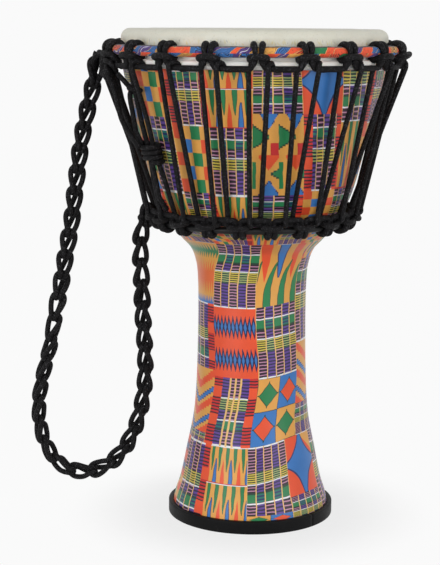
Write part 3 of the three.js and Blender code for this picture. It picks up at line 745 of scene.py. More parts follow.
# %% Shell's grid


def smooth_share(x, low, high):
    """Nought below low, one above high, and an S curve between them."""
    t = np.clip((np.asarray(x, float) - low) / (high - low), 0, 1)
    return t * t * (3 - 2 * t)


def filled(edges, most=3.0):
    """The edges, and even steps between them of at most a given size."""
    edges = sorted(set(edges))
    runs = [np.linspace(a, b, math.ceil((b - a) / most) + 1)[:-1] for a, b in zip(edges, edges[1:])]
    return np.concatenate([*runs, edges[-1:]])


COLUMN, SHELL_COLUMNS = 2.0, 180
bearings = -180 + COLUMN * np.arange(SHELL_COLUMNS + 1)
block_edges = [h for block in BLOCKS for h in block[2:4] if SHELL_LIFT < h < RIM_TOP]
outer_heights = filled([SHELL_LIFT, RIM_TOP, *block_edges])


def hill(x, foot, crest, edge, end):
    """Rises from nought to one between foot and crest, and falls again between edge and end."""
    return smooth_share(x, foot, crest) * (1 - smooth_share(x, edge, end))


def strip_drift(bearing, height):
    """How many degrees the print's strips lean aside. They lean to the left in the stem and on the foot,
    to the right where the stem meets the bowl on the left side, and to the right low in the bowl on the
    right side."""
    low_in_bowl = np.clip((461 - height) / 118, 0, 1.2) * smooth_share(height, 296, 322)
    right_side = 9 * smooth_share(bearing, -4, 20) + 2 * smooth_share(bearing, 18, 40)
    return (-8 * smooth_share(156 - height, 0, 73) - 3.5 * hill(height, 160, 215, 240, 276)
            + 11 * hill(height, 258, 289, 291, 304) * hill(-bearing, -4, 44, 60, 140)
            + low_in_bowl * right_side * (1 - smooth_share(bearing, 60, 140)))


def shell_rows():
    """Outside going up, the rim's round, the lip, and the inner wall going down. The print's strips lean
    and its rows of blocks tip a little, so the outside's grid is turned and lifted by smooth amounts."""
    crest = RIM_RADIUS - RIM_ROUND
    rim = arc(crest, RIM_TOP, RIM_ROUND, 0, 90, 8)[1:]
    lip = arc(crest, RIM_TOP + RIM_ROUND - RIM_LIP, RIM_LIP, 110, 180, 4)
    wall = smooth_line(OUTSIDE, step=4, straight_step=6)
    ahead = np.gradient(wall, axis=0)
    left = np.stack([-ahead[:, 1], ahead[:, 0]], 1) / np.linalg.norm(ahead, axis=1)[:, None]
    inner = (wall + left * SHELL_WALL)[::-1]
    inner = inner[(inner[:, 1] < RIM_TOP - 24) & (inner[:, 1] > SHELL_LIFT + 2)]
    rest = np.vstack([rim, lip, [(crest - RIM_LIP, RIM_TOP), (RIM_RADIUS - SHELL_WALL, RIM_TOP - 10)],
                      inner, [(FOOT_RADIUS - SHELL_WALL, SHELL_LIFT)]])
    bearing, height = bearings[None, :-1], outer_heights[:, None]
    tip = 5 + np.clip(156 - height, 0, 120) * 0.055
    z = height + tip * hill(bearing, -4, 60, 70, 150) * hill(height, 6, 44, 240, 285)
    outside = around(-90 + bearing + strip_drift(bearing, height), outline_radius(z), z)
    return np.concatenate([outside, around(-90 + bearing, rest[:, :1], rest[:, 1:])])


shell_grid = shell_rows()
shell = stand_in(grid_mesh("printed_goblet", shell_grid, closed_rows=True), "shell")


def assign_blocks(piece):
    """Gives each outer face its block's motif, and its corners their place in the block: across from the
    left edge and down from the top edge, each from nought to one."""
    rows, columns = len(shell_grid), SHELL_COLUMNS
    bands = len(outer_heights) - 1
    low, high = outer_heights[:-1], outer_heights[1:]
    motif = np.full((rows, columns), len(MOTIFS), np.int32)
    place = np.zeros((rows, columns, 4, 2))
    for left, right, top, bottom, name in BLOCKS:
        middle = (low + high) / 2
        r = np.nonzero((middle < top) & (middle > bottom))[0]
        for turn in (0, 360, -360):
            centre = bearings[:-1] + COLUMN / 2 + turn
            c = np.nonzero((centre > left) & (centre < right))[0]
            if not len(r) or not len(c):
                continue
            u = (np.stack([bearings[c], bearings[c] + COLUMN], 1) + turn - left) / (right - left)
            d = (min(top, RIM_TOP) - np.stack([low[r], high[r]], 1)) / (min(top, RIM_TOP) - bottom)
            motif[np.ix_(r, c)] = MOTIFS.index(name)
            corners = [np.stack(np.broadcast_arrays(u[None, :, i], d[:, None, j]), -1)
                       for i, j in ((0, 0), (1, 0), (1, 1), (0, 1))]
            place[np.ix_(r, c)] = np.stack(corners, 2)
    piece.data.uv_layers.new(name="block").data.foreach_set("uv", place.astype(np.float32).ravel())
    piece.data.polygons.foreach_set("material_index", motif.ravel())
    print("outer faces with a block:", int((motif[:bands] < len(MOTIFS)).sum()), "of", bands * columns)


# %% [markdown]
# ## Finishes as arithmetic
# A finish is worked out at each point from numbers: a place in a printed block, a distance along a rope.
# The small class below turns sums and comparisons of such numbers into Math nodes, so that a motif
# reads like its own drawing rules.

# %% Numbers at each point


def ink(red, green, blue):
    """A display colour, each channel 0 to 255, as the linear colour that shaders take."""
    share = np.array([red, green, blue]) / 255
    linear = np.where(share <= 0.04045, share / 12.92, ((share + 0.055) / 1.055) ** 2.4)
    return (*linear.tolist(), 1.0)


class Field:
    """A number that a node tree works out at each point."""

    def __init__(self, socket):
        self.socket = socket
        self.tree = socket.node.id_data

    def math(self, operation, *others):
        node = self.tree.nodes.new("ShaderNodeMath")
        node.operation = operation
        for slot, value in zip(node.inputs, (self, *others)):
            if isinstance(value, Field):
                self.tree.links.new(value.socket, slot)
            else:
                slot.default_value = value
        return Field(node.outputs[0])

    def __add__(self, other):
        return self.math("ADD", other)

    def __sub__(self, other):
        return self.math("SUBTRACT", other)

    def __mul__(self, other):
        return self.math("MULTIPLY", other)

    def above(self, edge):
        """One where the number is over the edge, and nought elsewhere."""
        return self.math("GREATER_THAN", edge)

    def below(self, edge):
        return self.math("LESS_THAN", edge)

    def within(self, low, high):
        return self.above(low) * self.below(high)

    def either(self, other):
        return self.math("MAXIMUM", other)

    def flip(self):
        """One for nought and nought for one."""
        return (self * -1) + 1

    def part(self):
        """What is left over a whole number."""
        return self.math("FRACT")

    def whole(self):
        return self.math("FLOOR")

    def size(self):
        return self.math("ABSOLUTE")

    def stepped(self, steps):
        """The number held at even steps, as a woven edge is."""
        return (self * steps).whole() * (1 / steps)

    def odd(self):
        """One for odd whole numbers."""
        return (self * 0.5).part().above(0.25)

    def off_middle(self):
        """Distance from the middle of a unit cell."""
        return (self - 0.5).size()


class Dye:
    """A colour that motifs are laid over, one after another."""

    def __init__(self, tree, ground):
        self.tree, self.colour = tree, ground

    def fill(self, colour):
        """Starts again with one colour all over."""
        self.colour = colour
        return self

    def lay(self, mask, colour):
        """Puts a colour where the mask is one."""
        node = self.tree.nodes.new("ShaderNodeMix")
        node.data_type = "RGBA"
        for slot, value in ((node.inputs[0], mask), (node.inputs[6], self.colour), (node.inputs[7], colour)):
            value = value.socket if isinstance(value, Field) else value
            if isinstance(value, bpy.types.NodeSocket):
                self.tree.links.new(value, slot)
            else:
                slot.default_value = value
        self.colour = node.outputs[2]
        return self


# %% [markdown]
# ## Motifs of the print
# The cloth has one amber ground and few inks. Each motif is a rule for a block whose corners are
# (0, 0) at the upper left and (1, 1) at the lower right. Dark outlines are the same shape drawn a
# little larger first.

# %% Inks
AMBER, PALE_AMBER = ink(231, 166, 78), ink(240, 192, 116)
RED_ORANGE, RED = ink(236, 84, 44), ink(205, 40, 40)
BLUE, DEEP_BLUE = ink(52, 118, 190), ink(24, 38, 92)
GREEN, TEAL, DEEP_GREEN = ink(26, 122, 70), ink(24, 112, 100), ink(12, 52, 36)
PURPLE, PLUM, LILAC = ink(94, 62, 146), ink(18, 2, 20), ink(134, 64, 110)
PALE_LILAC, DARK_BLUE = ink(212, 170, 190), ink(24, 14, 64)
WHITE, YELLOW, BLACK = ink(236, 236, 240), ink(206, 184, 48), ink(22, 18, 24)
PALE_YELLOW, PALE_TEAL = ink(226, 210, 104), ink(92, 150, 110)

# %% Lattice blocks


def lattice(dye, across, down, columns=5, lines=17, green_top=0.18, yellow_top=0.45):
    """Columns between thin amber lines. Dark columns have fine lilac lines, the others are purple with
    dark blue lines. A band of green and one of yellow threads run across all of them under white lines."""
    place = across * columns
    odd = place.whole().odd()
    line = (down * lines).part().above(0.55)
    fine = (down * (lines * 1.4)).part()
    thread = (down * lines).part().within(0.7, 0.86)
    dye.lay(line, LILAC)
    dye.lay(thread, PALE_LILAC).lay(odd, PURPLE).lay(odd * line, DARK_BLUE)
    green = down.within(green_top, green_top + 0.14)
    dye.lay(green, GREEN).lay(green * odd, TEAL).lay(green * odd * line, DEEP_BLUE)
    dye.lay(down.within(green_top + 0.115, green_top + 0.14), DEEP_GREEN)
    yellow = down.within(yellow_top, yellow_top + 0.17)
    dye.lay(yellow, YELLOW).lay(yellow * odd, PALE_TEAL).lay(yellow * fine.above(0.55), BLACK)
    dye.lay(yellow * fine.within(0.2, 0.36), PALE_YELLOW)
    over_green = down.within(green_top - 0.022, green_top - 0.004)
    over_yellow = down.within(yellow_top - 0.018, yellow_top)
    dye.lay(over_green.either(over_yellow).either(down.above(0.978)), WHITE)
    dye.lay(place.part().off_middle().above(0.44), PALE_AMBER)


def red_stripes(dye, strip, down, count=22):
    """A red-orange strip with dark red hatching that comes and goes along it."""
    hatched = strip * (down * 2.4 + 0.3).part().below(0.62)
    dye.lay(strip, RED_ORANGE).lay(hatched, RED).lay(hatched * (down * count).part().above(0.6), PLUM)


def edged_lattice(dye, across, down, lines=12):
    """A lattice with a striped border at its right."""
    lattice(dye, across * 1.2, down, 4, lines)
    red_stripes(dye, across.above(0.8), down, lines)


def striped_lattice(dye, across, down):
    """A lattice between two striped borders, the left one wide."""
    lattice(dye, across * 1.5, down, 4)
    red_stripes(dye, across.below(0.22).either(across.above(0.86)), down)


def bars(dye, across, down):
    """A dark lattice column with three amber bars, a purple one on each side, and two striped borders."""
    from_middle = (across - 0.52).size().math("MINIMUM", 0.2)
    lattice(dye, from_middle, down, 8, 21, green_top=0.64, yellow_top=0.31)
    red_stripes(dye, across.below(0.22).either(across.above(0.82)), down)
    for middle in (0.4, 0.52, 0.64):
        dye.lay((across - middle).size().below(0.02), PALE_AMBER)


# %% Spiked blocks


def spikes(dye, across, length, count, shift, width, colour, edge):
    """Blades that are full at nought and run to a point at one along their length. The width falls with
    the length's square, so the sides are a little round."""
    off = (across * count + shift).part().off_middle()
    taper = (length * length).flip()
    dye.lay(off.below(taper * width + 0.035) * length.within(0, 1), edge)
    dye.lay(off.below(taper * width) * length.within(0, 1), colour)


def flames(dye, across, down, points=4):
    """Green points from above, blue and red ones from below between them."""
    dye.fill(AMBER)
    up = down.flip()
    spikes(dye, across, down * 1.5, points, 0, 0.2, GREEN, DEEP_GREEN)
    spikes(dye, across, up * 1.5, points / 2, 0, 0.1, BLUE, DEEP_BLUE)
    spikes(dye, across, up * 1.5, points / 2, 0.5, 0.12, RED_ORANGE, AMBER)
    dye.lay(down.above(0.975), RED).lay(down.below(0.02), WHITE)


def leaves(dye, across, down):
    """Long blades: red and blue ones from above, and green ones from below that curve to the right."""
    dye.fill(AMBER)
    up = down.flip()
    lean = across + up * 0.1
    spikes(dye, lean, down * 1.6, 1.56, 0.2, 0.15, RED_ORANGE, AMBER)
    spikes(dye, lean, down * 1.75, 1.56, 0.7, 0.12, BLUE, DEEP_BLUE)
    bent = across - (up * up * 0.28)
    spikes(dye, bent, up * 1.38, 3, 0.8, 0.23, GREEN, DEEP_GREEN)


def combs(dye, across, down, teeth=11):
    """Two rows of dark lenses on red-orange, with blue hearts."""
    dye.fill(RED_ORANGE)
    tooth = (across * teeth).part().off_middle()
    for middle in (0.27, 0.74):
        reach = ((down - middle).size() * 5.8).flip()
        dye.lay(tooth.below(reach * 0.64), DARK_BLUE)
        dye.lay(tooth.below((reach - 0.44) * 0.58), BLUE)


def haze(dye, across, down):
    """Soft bands whose edges are combed: green, amber, red-orange, amber and blue from the top."""
    comb = (across * 15).part().off_middle() * 0.22
    place = down + comb
    dye.fill(AMBER)
    dye.lay(place.within(0.13, 0.27), GREEN)
    dye.lay((place + comb).within(0.5, 0.86) * 0.75, RED_ORANGE)
    dye.lay(place.above(0.98), BLUE)


# %% Woven-step blocks


def checks(dye, across, down, columns=4, rows=5):
    """Every second square is coloured, in red-orange, green and blue in turn."""
    column, row = (across * columns).whole(), (down * rows).whole()
    shown = (column + row).odd().flip()
    turn = ((column + row * 3 + 60) * 0.5).whole().math("MODULO", 3)
    dye.fill(AMBER)
    dye.lay(shown * turn.below(0.5), RED_ORANGE)
    dye.lay(shown * turn.within(0.5, 1.5), GREEN).lay(shown * turn.above(1.5), BLUE)


def steps(dye, across, down):
    """Two columns of stepped triangles: blue points down, green and red-orange to the side, blue up."""
    side, level = (across * 2).part().stepped(20), down.stepped(48)
    dye.fill(AMBER)

    def triangle(middle, half, tip_side, start, reach, colour, edge):
        """Full at its start edge, and narrower by a step at each row or column to its tip."""
        off, run = tip_side
        width = ((run - start) * (1 / reach)).flip()
        away = (off - middle).size()
        dye.lay(away.below(width * half + 0.02) * width.within(-0.04, 1.001), edge)
        dye.lay(away.below(width * half) * width.within(0, 1.001), colour)

    triangle(0.62, 0.32, (side, level), 0.0, 0.17, BLUE, DEEP_BLUE)
    triangle(0.27, 0.13, (level, side), 0.0, 0.62, GREEN, DEEP_GREEN)
    dye.lay(side.above(0.68) * level.within(0.34, 0.48), RED)
    triangle(0.6, 0.4, (side, level), 0.5, 0.18, RED_ORANGE, AMBER)
    dye.lay(side.below(0.12) * level.within(0.58, 0.9), GREEN)
    triangle(0.72, 0.05, (level, side.flip()), 0.0, 0.3, GREEN, DEEP_GREEN)
    triangle(0.62, 0.4, (side, level.flip()), 0.0, 0.2, BLUE, DEEP_BLUE)


def diamonds(dye, across, down):
    """Two by two fields, green diamonds on amber and red-orange ones on blue, with dark outlines."""
    column, row = (across * 2).whole(), (down * 2).whole()
    odd = (column + row).odd()
    side, rise = (across * 2).part().off_middle(), (down * 2).part().off_middle()
    reach = side * 0.94 + rise * 1.1
    dye.lay(odd.flip(), AMBER).lay(odd, BLUE)
    knob = side.below(0.024) * reach.below(0.45)
    dye.lay(knob.either(rise.below(0.02) * reach.below(0.45)), DEEP_GREEN).lay(reach.below(0.41), DEEP_GREEN)
    dye.lay(reach.below(0.375), GREEN).lay(reach.below(0.375) * odd, RED_ORANGE)
    dye.lay(side.above(0.488), DEEP_GREEN).lay(rise.above(0.49), DEEP_GREEN)


def chevrons(dye, across, down):
    """Slanting bands that fold in the middle, with stepped edges."""
    fold = across.off_middle().stepped(14)
    place = (down * 2.3 + fold * 1.15 + 0.02).part()
    dye.fill(AMBER)
    dye.lay(place.within(0.5, 0.8), RED_ORANGE)
    below = down.above(0.16)
    dye.lay(place.within(0.12, 0.34) * below, DEEP_BLUE).lay(place.within(0.15, 0.31) * below, BLUE)


def star(dye, across, down):
    """A blue star with four hollow sides on red-orange, with a dark outline and amber corners."""
    reach = across.off_middle().math("POWER", 0.62) + down.off_middle().math("POWER", 0.62)
    dye.fill(RED_ORANGE)
    dye.lay((across * 0.7 - down).above(0.35), AMBER)
    dye.lay(reach.below(0.83), DEEP_BLUE).lay(reach.below(0.78), BLUE)


# %% Every motif by its name


def variant(rule, upside_down=False, **options):
    """The same motif with other counts, as on the stem and the foot, or printed the other way up."""
    return lambda dye, across, down: rule(dye, across, down.flip() if upside_down else down, **options)


DRAWN = (lattice, edged_lattice, striped_lattice, bars, flames, leaves, combs, haze, checks, steps, diamonds,
         chevrons, star)
MOTIF_RULES = {rule.__name__: rule for rule in DRAWN}
MOTIF_RULES["lattice_down"] = variant(lattice, True)
MOTIF_RULES["fine_lattice"] = variant(lattice, lines=22)
MOTIF_RULES["fine_lattice_down"] = variant(lattice, True, lines=22)
MOTIF_RULES["fine_edged_lattice"] = variant(edged_lattice, lines=26)
MOTIF_RULES["fine_edged_lattice_down"] = variant(edged_lattice, True, lines=23)
MOTIF_RULES["fine_flames"] = variant(flames, points=5)
print(len(MOTIF_RULES), "motifs")

# %% [markdown]
# ## Cloth as a material
# Printed cotton is bonded to the shell under a thin clear coat: its ink is a little uneven, its edges
# wander by a thread or two, and its plain weave shows as a very fine bump.

# %% Printed cloth


def new_material(name):
    """A material with only its output and a principled shader."""
    material = bpy.data.materials.new(name)
    material.use_nodes = True
    tree = material.node_tree
    return material, tree, tree.nodes["Principled BSDF"]


def at_object(tree):
    """The point itself in object coordinates, in metres."""
    return tree.nodes.new("ShaderNodeTexCoord").outputs["Object"]


def noise(tree, scale, detail=2.0, roughness=0.5, vector=None):
    """Cloudy noise from nought to one, with so many bumps to a metre."""
    node = tree.nodes.new("ShaderNodeTexNoise")
    node.inputs["Scale"].default_value = scale
    node.inputs["Detail"].default_value = detail
    node.inputs["Roughness"].default_value = roughness
    tree.links.new(vector or at_object(tree), node.inputs["Vector"])
    return Field(node.outputs[0])


def on_uv(tree, name):
    """The two numbers of a UV map."""
    uv = tree.nodes.new("ShaderNodeUVMap")
    uv.uv_map = name
    split = tree.nodes.new("ShaderNodeSeparateXYZ")
    tree.links.new(uv.outputs[0], split.inputs[0])
    return Field(split.outputs[0]), Field(split.outputs[1])


def bump(tree, shader, height, distance, strength=1.0):
    """Raises the surface by a height field times a distance in metres."""
    node = tree.nodes.new("ShaderNodeBump")
    node.inputs["Distance"].default_value = distance
    node.inputs["Strength"].default_value = strength
    tree.links.new(height.socket, node.inputs["Height"])
    tree.links.new(node.outputs[0], shader.inputs["Normal"])


def shade_by(tree, colour, amount):
    """Multiplies a colour by a number near one."""
    node = tree.nodes.new("ShaderNodeVectorMath")
    node.operation = "SCALE"
    tree.links.new(colour, node.inputs[0])
    tree.links.new(amount.socket, node.inputs["Scale"])
    return node.outputs[0]


def weave_height(tree, threads=1900):
    """Plain weave: two sets of threads at right angles, about half a millimetre apart, over and under."""
    split = tree.nodes.new("ShaderNodeSeparateXYZ")
    tree.links.new(at_object(tree), split.inputs[0])
    x, y, z = (Field(s) for s in split.outputs)
    turn = y.math("ARCTAN2", x)
    one, other = (turn * (threads * 0.09)).math("SINE"), (z * (threads * 3.3)).math("SINE")
    return (one * other) * 0.5 + 0.5


def printed_cloth(name, rule):
    """One motif as ink on cotton, laid out on the block map."""
    material, tree, shader = new_material(name)
    across, down = on_uv(tree, "block")
    wander = noise(tree, 110, 1.0) - 0.5
    across, down = across + wander * 0.035, down + wander * 0.02
    dye = Dye(tree, PLUM)
    rule(dye, across, down)
    uneven = (noise(tree, 60, 3.0) * 0.22) + (noise(tree, 1500, 1.0) * 0.16) + 0.81
    tree.links.new(shade_by(tree, dye.colour, uneven), shader.inputs["Base Color"])
    roughness = (noise(tree, 300, 2.0) * 0.14) + 0.4
    tree.links.new(roughness.socket, shader.inputs["Roughness"])
    shader.inputs["Specular IOR Level"].default_value = 0.3
    shader.inputs["Coat Weight"].default_value = 0.34
    shader.inputs["Coat Roughness"].default_value = 0.3
    shader.inputs["Sheen Weight"].default_value = 0.08
    shader.inputs["Sheen Roughness"].default_value = 0.4
    bump(tree, shader, weave_height(tree), 0.00012, 0.6)
    return material


# %% Moulded plastic inside the shell


def moulded_plastic():
    """Dark, slightly mottled plastic with the fine spark texture of the mould."""
    material, tree, shader = new_material("moulded_plastic")
    dye = Dye(tree, ink(44, 44, 46))
    dye.lay(noise(tree, 35, 4.0), ink(58, 57, 58))
    tree.links.new(dye.colour, shader.inputs["Base Color"])
    tree.links.new(((noise(tree, 90, 2.0) * 0.2) + 0.45).socket, shader.inputs["Roughness"])
    bump(tree, shader, noise(tree, 1400, 2.0), 0.0001)
    return material


assign_blocks(shell)
for motif in MOTIFS:
    shell.data.materials.append(printed_cloth("print_" + motif, MOTIF_RULES[motif]))
shell.data.materials.append(moulded_plastic())

# %% [markdown]
# ## Braided rope
# The rope is a black polyester braid. Its carriers cross in a fine diamond pattern that only shows
# as a broken sheen, so the diamonds go into the bump, and into the colour only as painted highlights: paler
# ridges and sparse pale flecks.

# %% Rope


def braided_rope():
    """Two sets of slanting ridges on the rope's own map, with fibre noise, ridges painted paler as a
    highlight, and sparse pale flecks as a painted sheen.
    """
    material, tree, shader = new_material("braided_rope")
    turn, along = on_uv(tree, "along")
    right = ((turn * 6 + along * 1.6) * (2 * math.pi)).math("SINE")
    left = ((turn * 6 - along * 1.6) * (2 * math.pi)).math("SINE")
    over = (turn * 12).whole().odd()
    height = right.either(left) * 0.5 + 0.5
    fibre = noise(tree, 2600, 2.0)
    dye = Dye(tree, ink(5, 4, 5))
    # Painted highlight: the braid's ridges are laid paler, more where the fibre noise is high.
    dye.lay((height * 0.6) * (fibre * 0.9 + 0.3), ink(22, 21, 22))
    dye.lay(noise(tree, 45, 3.0) * 0.25 * over, ink(18, 17, 18))
    # Painted highlight: sparse pale flecks on the ridges paint the braid's broken sheen.
    dye.lay((noise(tree, 620, 2.0, 0.7).above(0.58)) * (height * 0.6), ink(74, 73, 77))
    tree.links.new(dye.colour, shader.inputs["Base Color"])
    tree.links.new(((fibre * 0.25) + 0.55).socket, shader.inputs["Roughness"])
    shader.inputs["Specular IOR Level"].default_value = 0.14
    bump(tree, shader, height + fibre * 0.3, 0.00035)
    return material


rope_finish = braided_rope()
for piece in [strap, *scene_ropes, *ropes.values()]:
    piece.data.materials.append(rope_finish)

# %% [markdown]
# ## Goat skin
# The hide is shaved, dry and almost white, a little darker in clouds, with pores and a few hairs'
# roots. Just under the rim it is streaked with yellow and dark hair; further down, the fold, which lies in
# shade, is painted whiter as painted light.

# %% Skin's material


def goat_hide():
    """Clouds of warm grey on off-white, dark pores, streaks of hair under the rim, and a fold painted
    near-white as painted light against its shade.
    """
    material, tree, shader = new_material("goat_hide")
    split = tree.nodes.new("ShaderNodeSeparateXYZ")
    tree.links.new(at_object(tree), split.inputs[0])
    height = Field(split.outputs[2])
    dye = Dye(tree, ink(218, 217, 204))
    dye.lay(noise(tree, 14, 4.0, 0.6) * 0.5, ink(200, 196, 178))
    dye.lay((noise(tree, 70, 3.0, 0.6) - 0.45) * 0.7, ink(182, 173, 150))
    pores = noise(tree, 900, 1.0)
    dye.lay(pores.above(0.7) * 0.35, ink(140, 128, 104))
    # Painted light: below the fold line the hide is painted near-white to lift the shade on the fold.
    dye.lay(((height * -1) + 0.4765).above(0), ink(254, 253, 247))
    turn = Field(split.outputs[1]).math("ARCTAN2", Field(split.outputs[0]))
    cells = tree.nodes.new("ShaderNodeCombineXYZ")
    tree.links.new(((turn * 110) + (noise(tree, 90, 1.0) * 9)).socket, cells.inputs[0])
    tree.links.new((height * 130).socket, cells.inputs[1])
    strands = noise(tree, 1.0, 1.0, vector=cells.outputs[0])
    low = (height - 0.4915) * -150
    dye.lay(strands.above(0.6) * low.within(0, 1.2) * low.math("MINIMUM", 0.6), ink(208, 192, 120))
    dye.lay(strands.below(0.32) * low.within(0, 1.2) * low.math("MINIMUM", 0.5), ink(80, 72, 60))
    tree.links.new(dye.colour, shader.inputs["Base Color"])
    tree.links.new(((noise(tree, 120, 2.0) * 0.2) + 0.42).socket, shader.inputs["Roughness"])
    shader.inputs["Subsurface Weight"].default_value = 0.06
    shader.inputs["Subsurface Radius"].default_value = (0.002, 0.0014, 0.0009)
    bump(tree, shader, noise(tree, 260, 4.0) + pores * 0.4, 0.00025)
    return material


skin.data.materials.append(goat_hide())

# %% [markdown]
# ## Crown cloth, steel, rubber
# The ring's strip of cotton is wound at a slant, so its print shows as slanting patches with the
# cut edge of each lap between them. The steel is plain rod and the rubber is matt, with faint rub marks.

# %% Crown cloth's material


def wound_cotton():
    """Slanting laps, each with its own ink, fine dark lines in some, a white curve in others, and a plum band
    of painted shade at one place round the tube.
    """
    material, tree, shader = new_material("wound_cotton")
    turn, bay = on_uv(tree, "along")
    place = bay * 3.6 + turn * 2.6 + (noise(tree, 56, 1.0) * 3.2)
    patch = place.whole()
    chance = tree.nodes.new("ShaderNodeTexWhiteNoise")
    chance.noise_dimensions = "1D"
    tree.links.new(patch.socket, chance.inputs["W"])
    pick = Field(chance.outputs[0])
    dye = Dye(tree, RED_ORANGE)
    dye.lay(pick.within(0.3, 0.5), BLUE).lay(pick.within(0.5, 0.78), PURPLE)
    dye.lay(pick.above(0.78), AMBER).lay(pick.above(0.93), GREEN)
    lines = ((place * 6 - turn * 7).part()).below(0.36)
    dye.lay(lines * pick.within(0.26, 0.86), PLUM)
    dye.lay((noise(tree, 420, 2.0, 0.7) - 0.52) * 2.4, PLUM)
    dye.lay((place.part() - 0.5).size().below(0.03) * pick.within(0.5, 0.58), WHITE)
    dye.lay(place.part().below(0.05) * pick.below(0.6), PALE_AMBER)
    dye.lay(place.part().above(0.97), PLUM)
    # Painted shade: a plum band at a fixed place round the tube's section, the same all round the ring.
    dye.lay((turn * -1 + 1.06).part().within(0.26, 0.38), PLUM)
    uneven = (noise(tree, 200, 3.0) * 0.3) + 0.82
    tree.links.new(shade_by(tree, dye.colour, uneven), shader.inputs["Base Color"])
    tree.links.new(((noise(tree, 300, 2.0) * 0.15) + 0.62).socket, shader.inputs["Roughness"])
    shader.inputs["Sheen Weight"].default_value = 0.15
    bump(tree, shader, (place.part() * 0.6) + noise(tree, 1800, 2.0) * 0.5, 0.0006)
    return material


crown_cloth.data.materials.append(wound_cotton())

# %% Steel, black rod and rubber


def steel_rod(name, colour, worn, metal):
    """Rod with a fine uneven grain, and cloudy worn places of another grey."""
    material, tree, shader = new_material(name)
    dye = Dye(tree, colour)
    dye.lay((noise(tree, 55, 4.0) - 0.35), worn)
    tree.links.new(dye.colour, shader.inputs["Base Color"])
    shader.inputs["Metallic"].default_value = metal
    shader.inputs["Specular IOR Level"].default_value = 0.2 + 0.3 * metal
    tree.links.new(((noise(tree, 400, 3.0) * 0.25) + 0.28).socket, shader.inputs["Roughness"])
    bump(tree, shader, noise(tree, 900, 3.0), 0.00008)
    return material


def black_rubber():
    """Near-black rubber, greyer where hands and floors have rubbed it, with a fine grain."""
    material, tree, shader = new_material("foot_rubber")
    dye = Dye(tree, ink(5, 5, 6))
    dye.lay((noise(tree, 40, 4.0, 0.6) - 0.4), ink(17, 17, 18))
    dye.lay((noise(tree, 600, 2.0)).above(0.66) * 0.2, ink(48, 48, 48))
    tree.links.new(dye.colour, shader.inputs["Base Color"])
    tree.links.new(((noise(tree, 80, 3.0) * 0.22) + 0.4).socket, shader.inputs["Roughness"])
    shader.inputs["Specular IOR Level"].default_value = 0.12
    bump(tree, shader, noise(tree, 1200, 2.0), 0.00012)
    return material


def clad(node, material):
    """Gives a carried-over solid its finish."""
    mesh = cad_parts[node].data
    mesh.materials.clear()
    mesh.materials.append(material)


bare_steel = steel_rod("bare_steel", ink(186, 188, 192), ink(150, 150, 150), 1.0)
clad("crown_ring", bare_steel)
clad("flesh_ring", bare_steel)
lower_ring.data.materials.append(steel_rod("black_steel", ink(12, 12, 13), ink(26, 26, 26), 0.0))
foot_band.data.materials.append(black_rubber())

# %% [markdown]
# ## Studio
# The photograph has a white ground with hardly a shadow. The floor's own colour is pale near the drum,
# where it keeps the shadow, and turns into the backdrop's white further out, for rays from the
# camera and for mirror rays. Two large lamps beside the camera, a smaller one in front and the sky light
# the drum evenly.

# %% Backdrop and floor
BACKDROP_WHITE, SKY_LIGHT = 0.956, 0.58
SHADOW_EDGE, WHITE_FROM = 0.082, 0.2
bpy.context.scene.view_settings.view_transform = "Standard"


def seen_directly(tree):
    """One for rays from the camera, from mirrors and through glass."""
    rays = tree.nodes.new("ShaderNodeLightPath").outputs
    return Field(rays["Is Camera Ray"]).either(Field(rays["Is Glossy Ray"])).either(
        Field(rays["Is Transmission Ray"]))


def studio_world(light):
    """White to the camera, and a plain sky for everything else."""
    world = bpy.data.worlds.new("studio")
    bpy.context.scene.world = world
    world.use_nodes = True
    tree = world.node_tree
    sky = tree.nodes["Background"]
    sky.inputs[0].default_value = (1, 1, 1, 1)
    strength = seen_directly(tree)
    tree.links.new((strength * (BACKDROP_WHITE - light) + light).socket, sky.inputs[1])


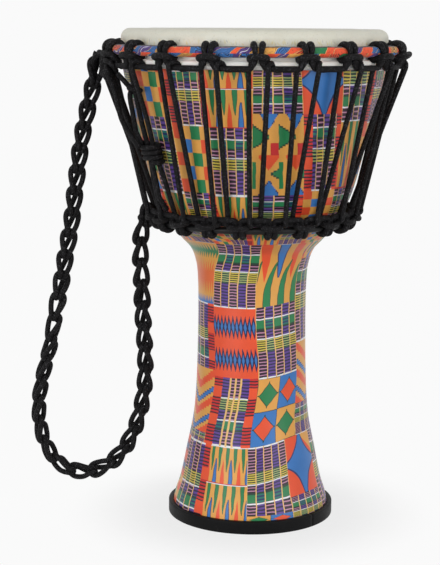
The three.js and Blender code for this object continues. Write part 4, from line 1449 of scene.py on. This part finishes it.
def studio_floor(radius=1.6, rings=48):
    """A disc of rings round the drum's foot."""
    ring = np.linspace(0, 2 * math.pi, 97)[:-1]
    r = np.linspace(0.02, radius, rings)[:, None] / MM
    rows = np.stack(np.broadcast_arrays(r * np.cos(ring), r * np.sin(ring), -0.05), -1)
    floor = grid_mesh("floor", rows[::-1])
    material, tree, shader = new_material("pale_floor")
    shader.inputs["Base Color"].default_value = (0.9, 0.9, 0.9, 1)
    shader.inputs["Roughness"].default_value = 0.9
    glow = tree.nodes.new("ShaderNodeEmission")
    glow.inputs[0].default_value = (BACKDROP_WHITE, BACKDROP_WHITE, BACKDROP_WHITE, 1)
    distance = tree.nodes.new("ShaderNodeVectorMath")
    distance.operation = "LENGTH"
    tree.links.new(at_object(tree), distance.inputs[0])
    ramp = tree.nodes.new("ShaderNodeMapRange")
    ramp.interpolation_type = "SMOOTHSTEP"
    ramp.inputs["From Min"].default_value = SHADOW_EDGE
    ramp.inputs["From Max"].default_value = WHITE_FROM
    ramp.inputs["To Min"].default_value = 0.85
    tree.links.new(distance.outputs["Value"], ramp.inputs["Value"])
    mix = tree.nodes.new("ShaderNodeMixShader")
    tree.links.new((seen_directly(tree) * Field(ramp.outputs[0])).socket, mix.inputs[0])
    tree.links.new(shader.outputs[0], mix.inputs[1])
    tree.links.new(glow.outputs[0], mix.inputs[2])
    tree.links.new(mix.outputs[0], tree.nodes["Material Output"].inputs[0])
    floor.data.materials.append(material)
    return floor


studio_world(SKY_LIGHT)
studio_floor()

# %% Lamps


def softbox(name, place, target, size, watts):
    """A large square lamp that faces a point."""
    lamp = bpy.data.lights.new(name, "AREA")
    lamp.shape, lamp.size, lamp.energy = "SQUARE", size, watts
    holder = bpy.data.objects.new(name, lamp)
    bpy.context.scene.collection.objects.link(holder)
    holder.location = place
    holder.rotation_euler = (Vector(target) - Vector(place)).to_track_quat("-Z", "Y").to_euler()


softbox("left_softbox", (-1.0, -1.2, 0.46), (0, 0, 0.42), 0.9, 8.2)
softbox("right_softbox", (1.15, -1.05, 0.44), (0, 0, 0.42), 0.9, 6.5)
softbox("front_softbox", (0.06, -1.2, 0.64), (0, 0, 0.46), 0.35, 2.2)
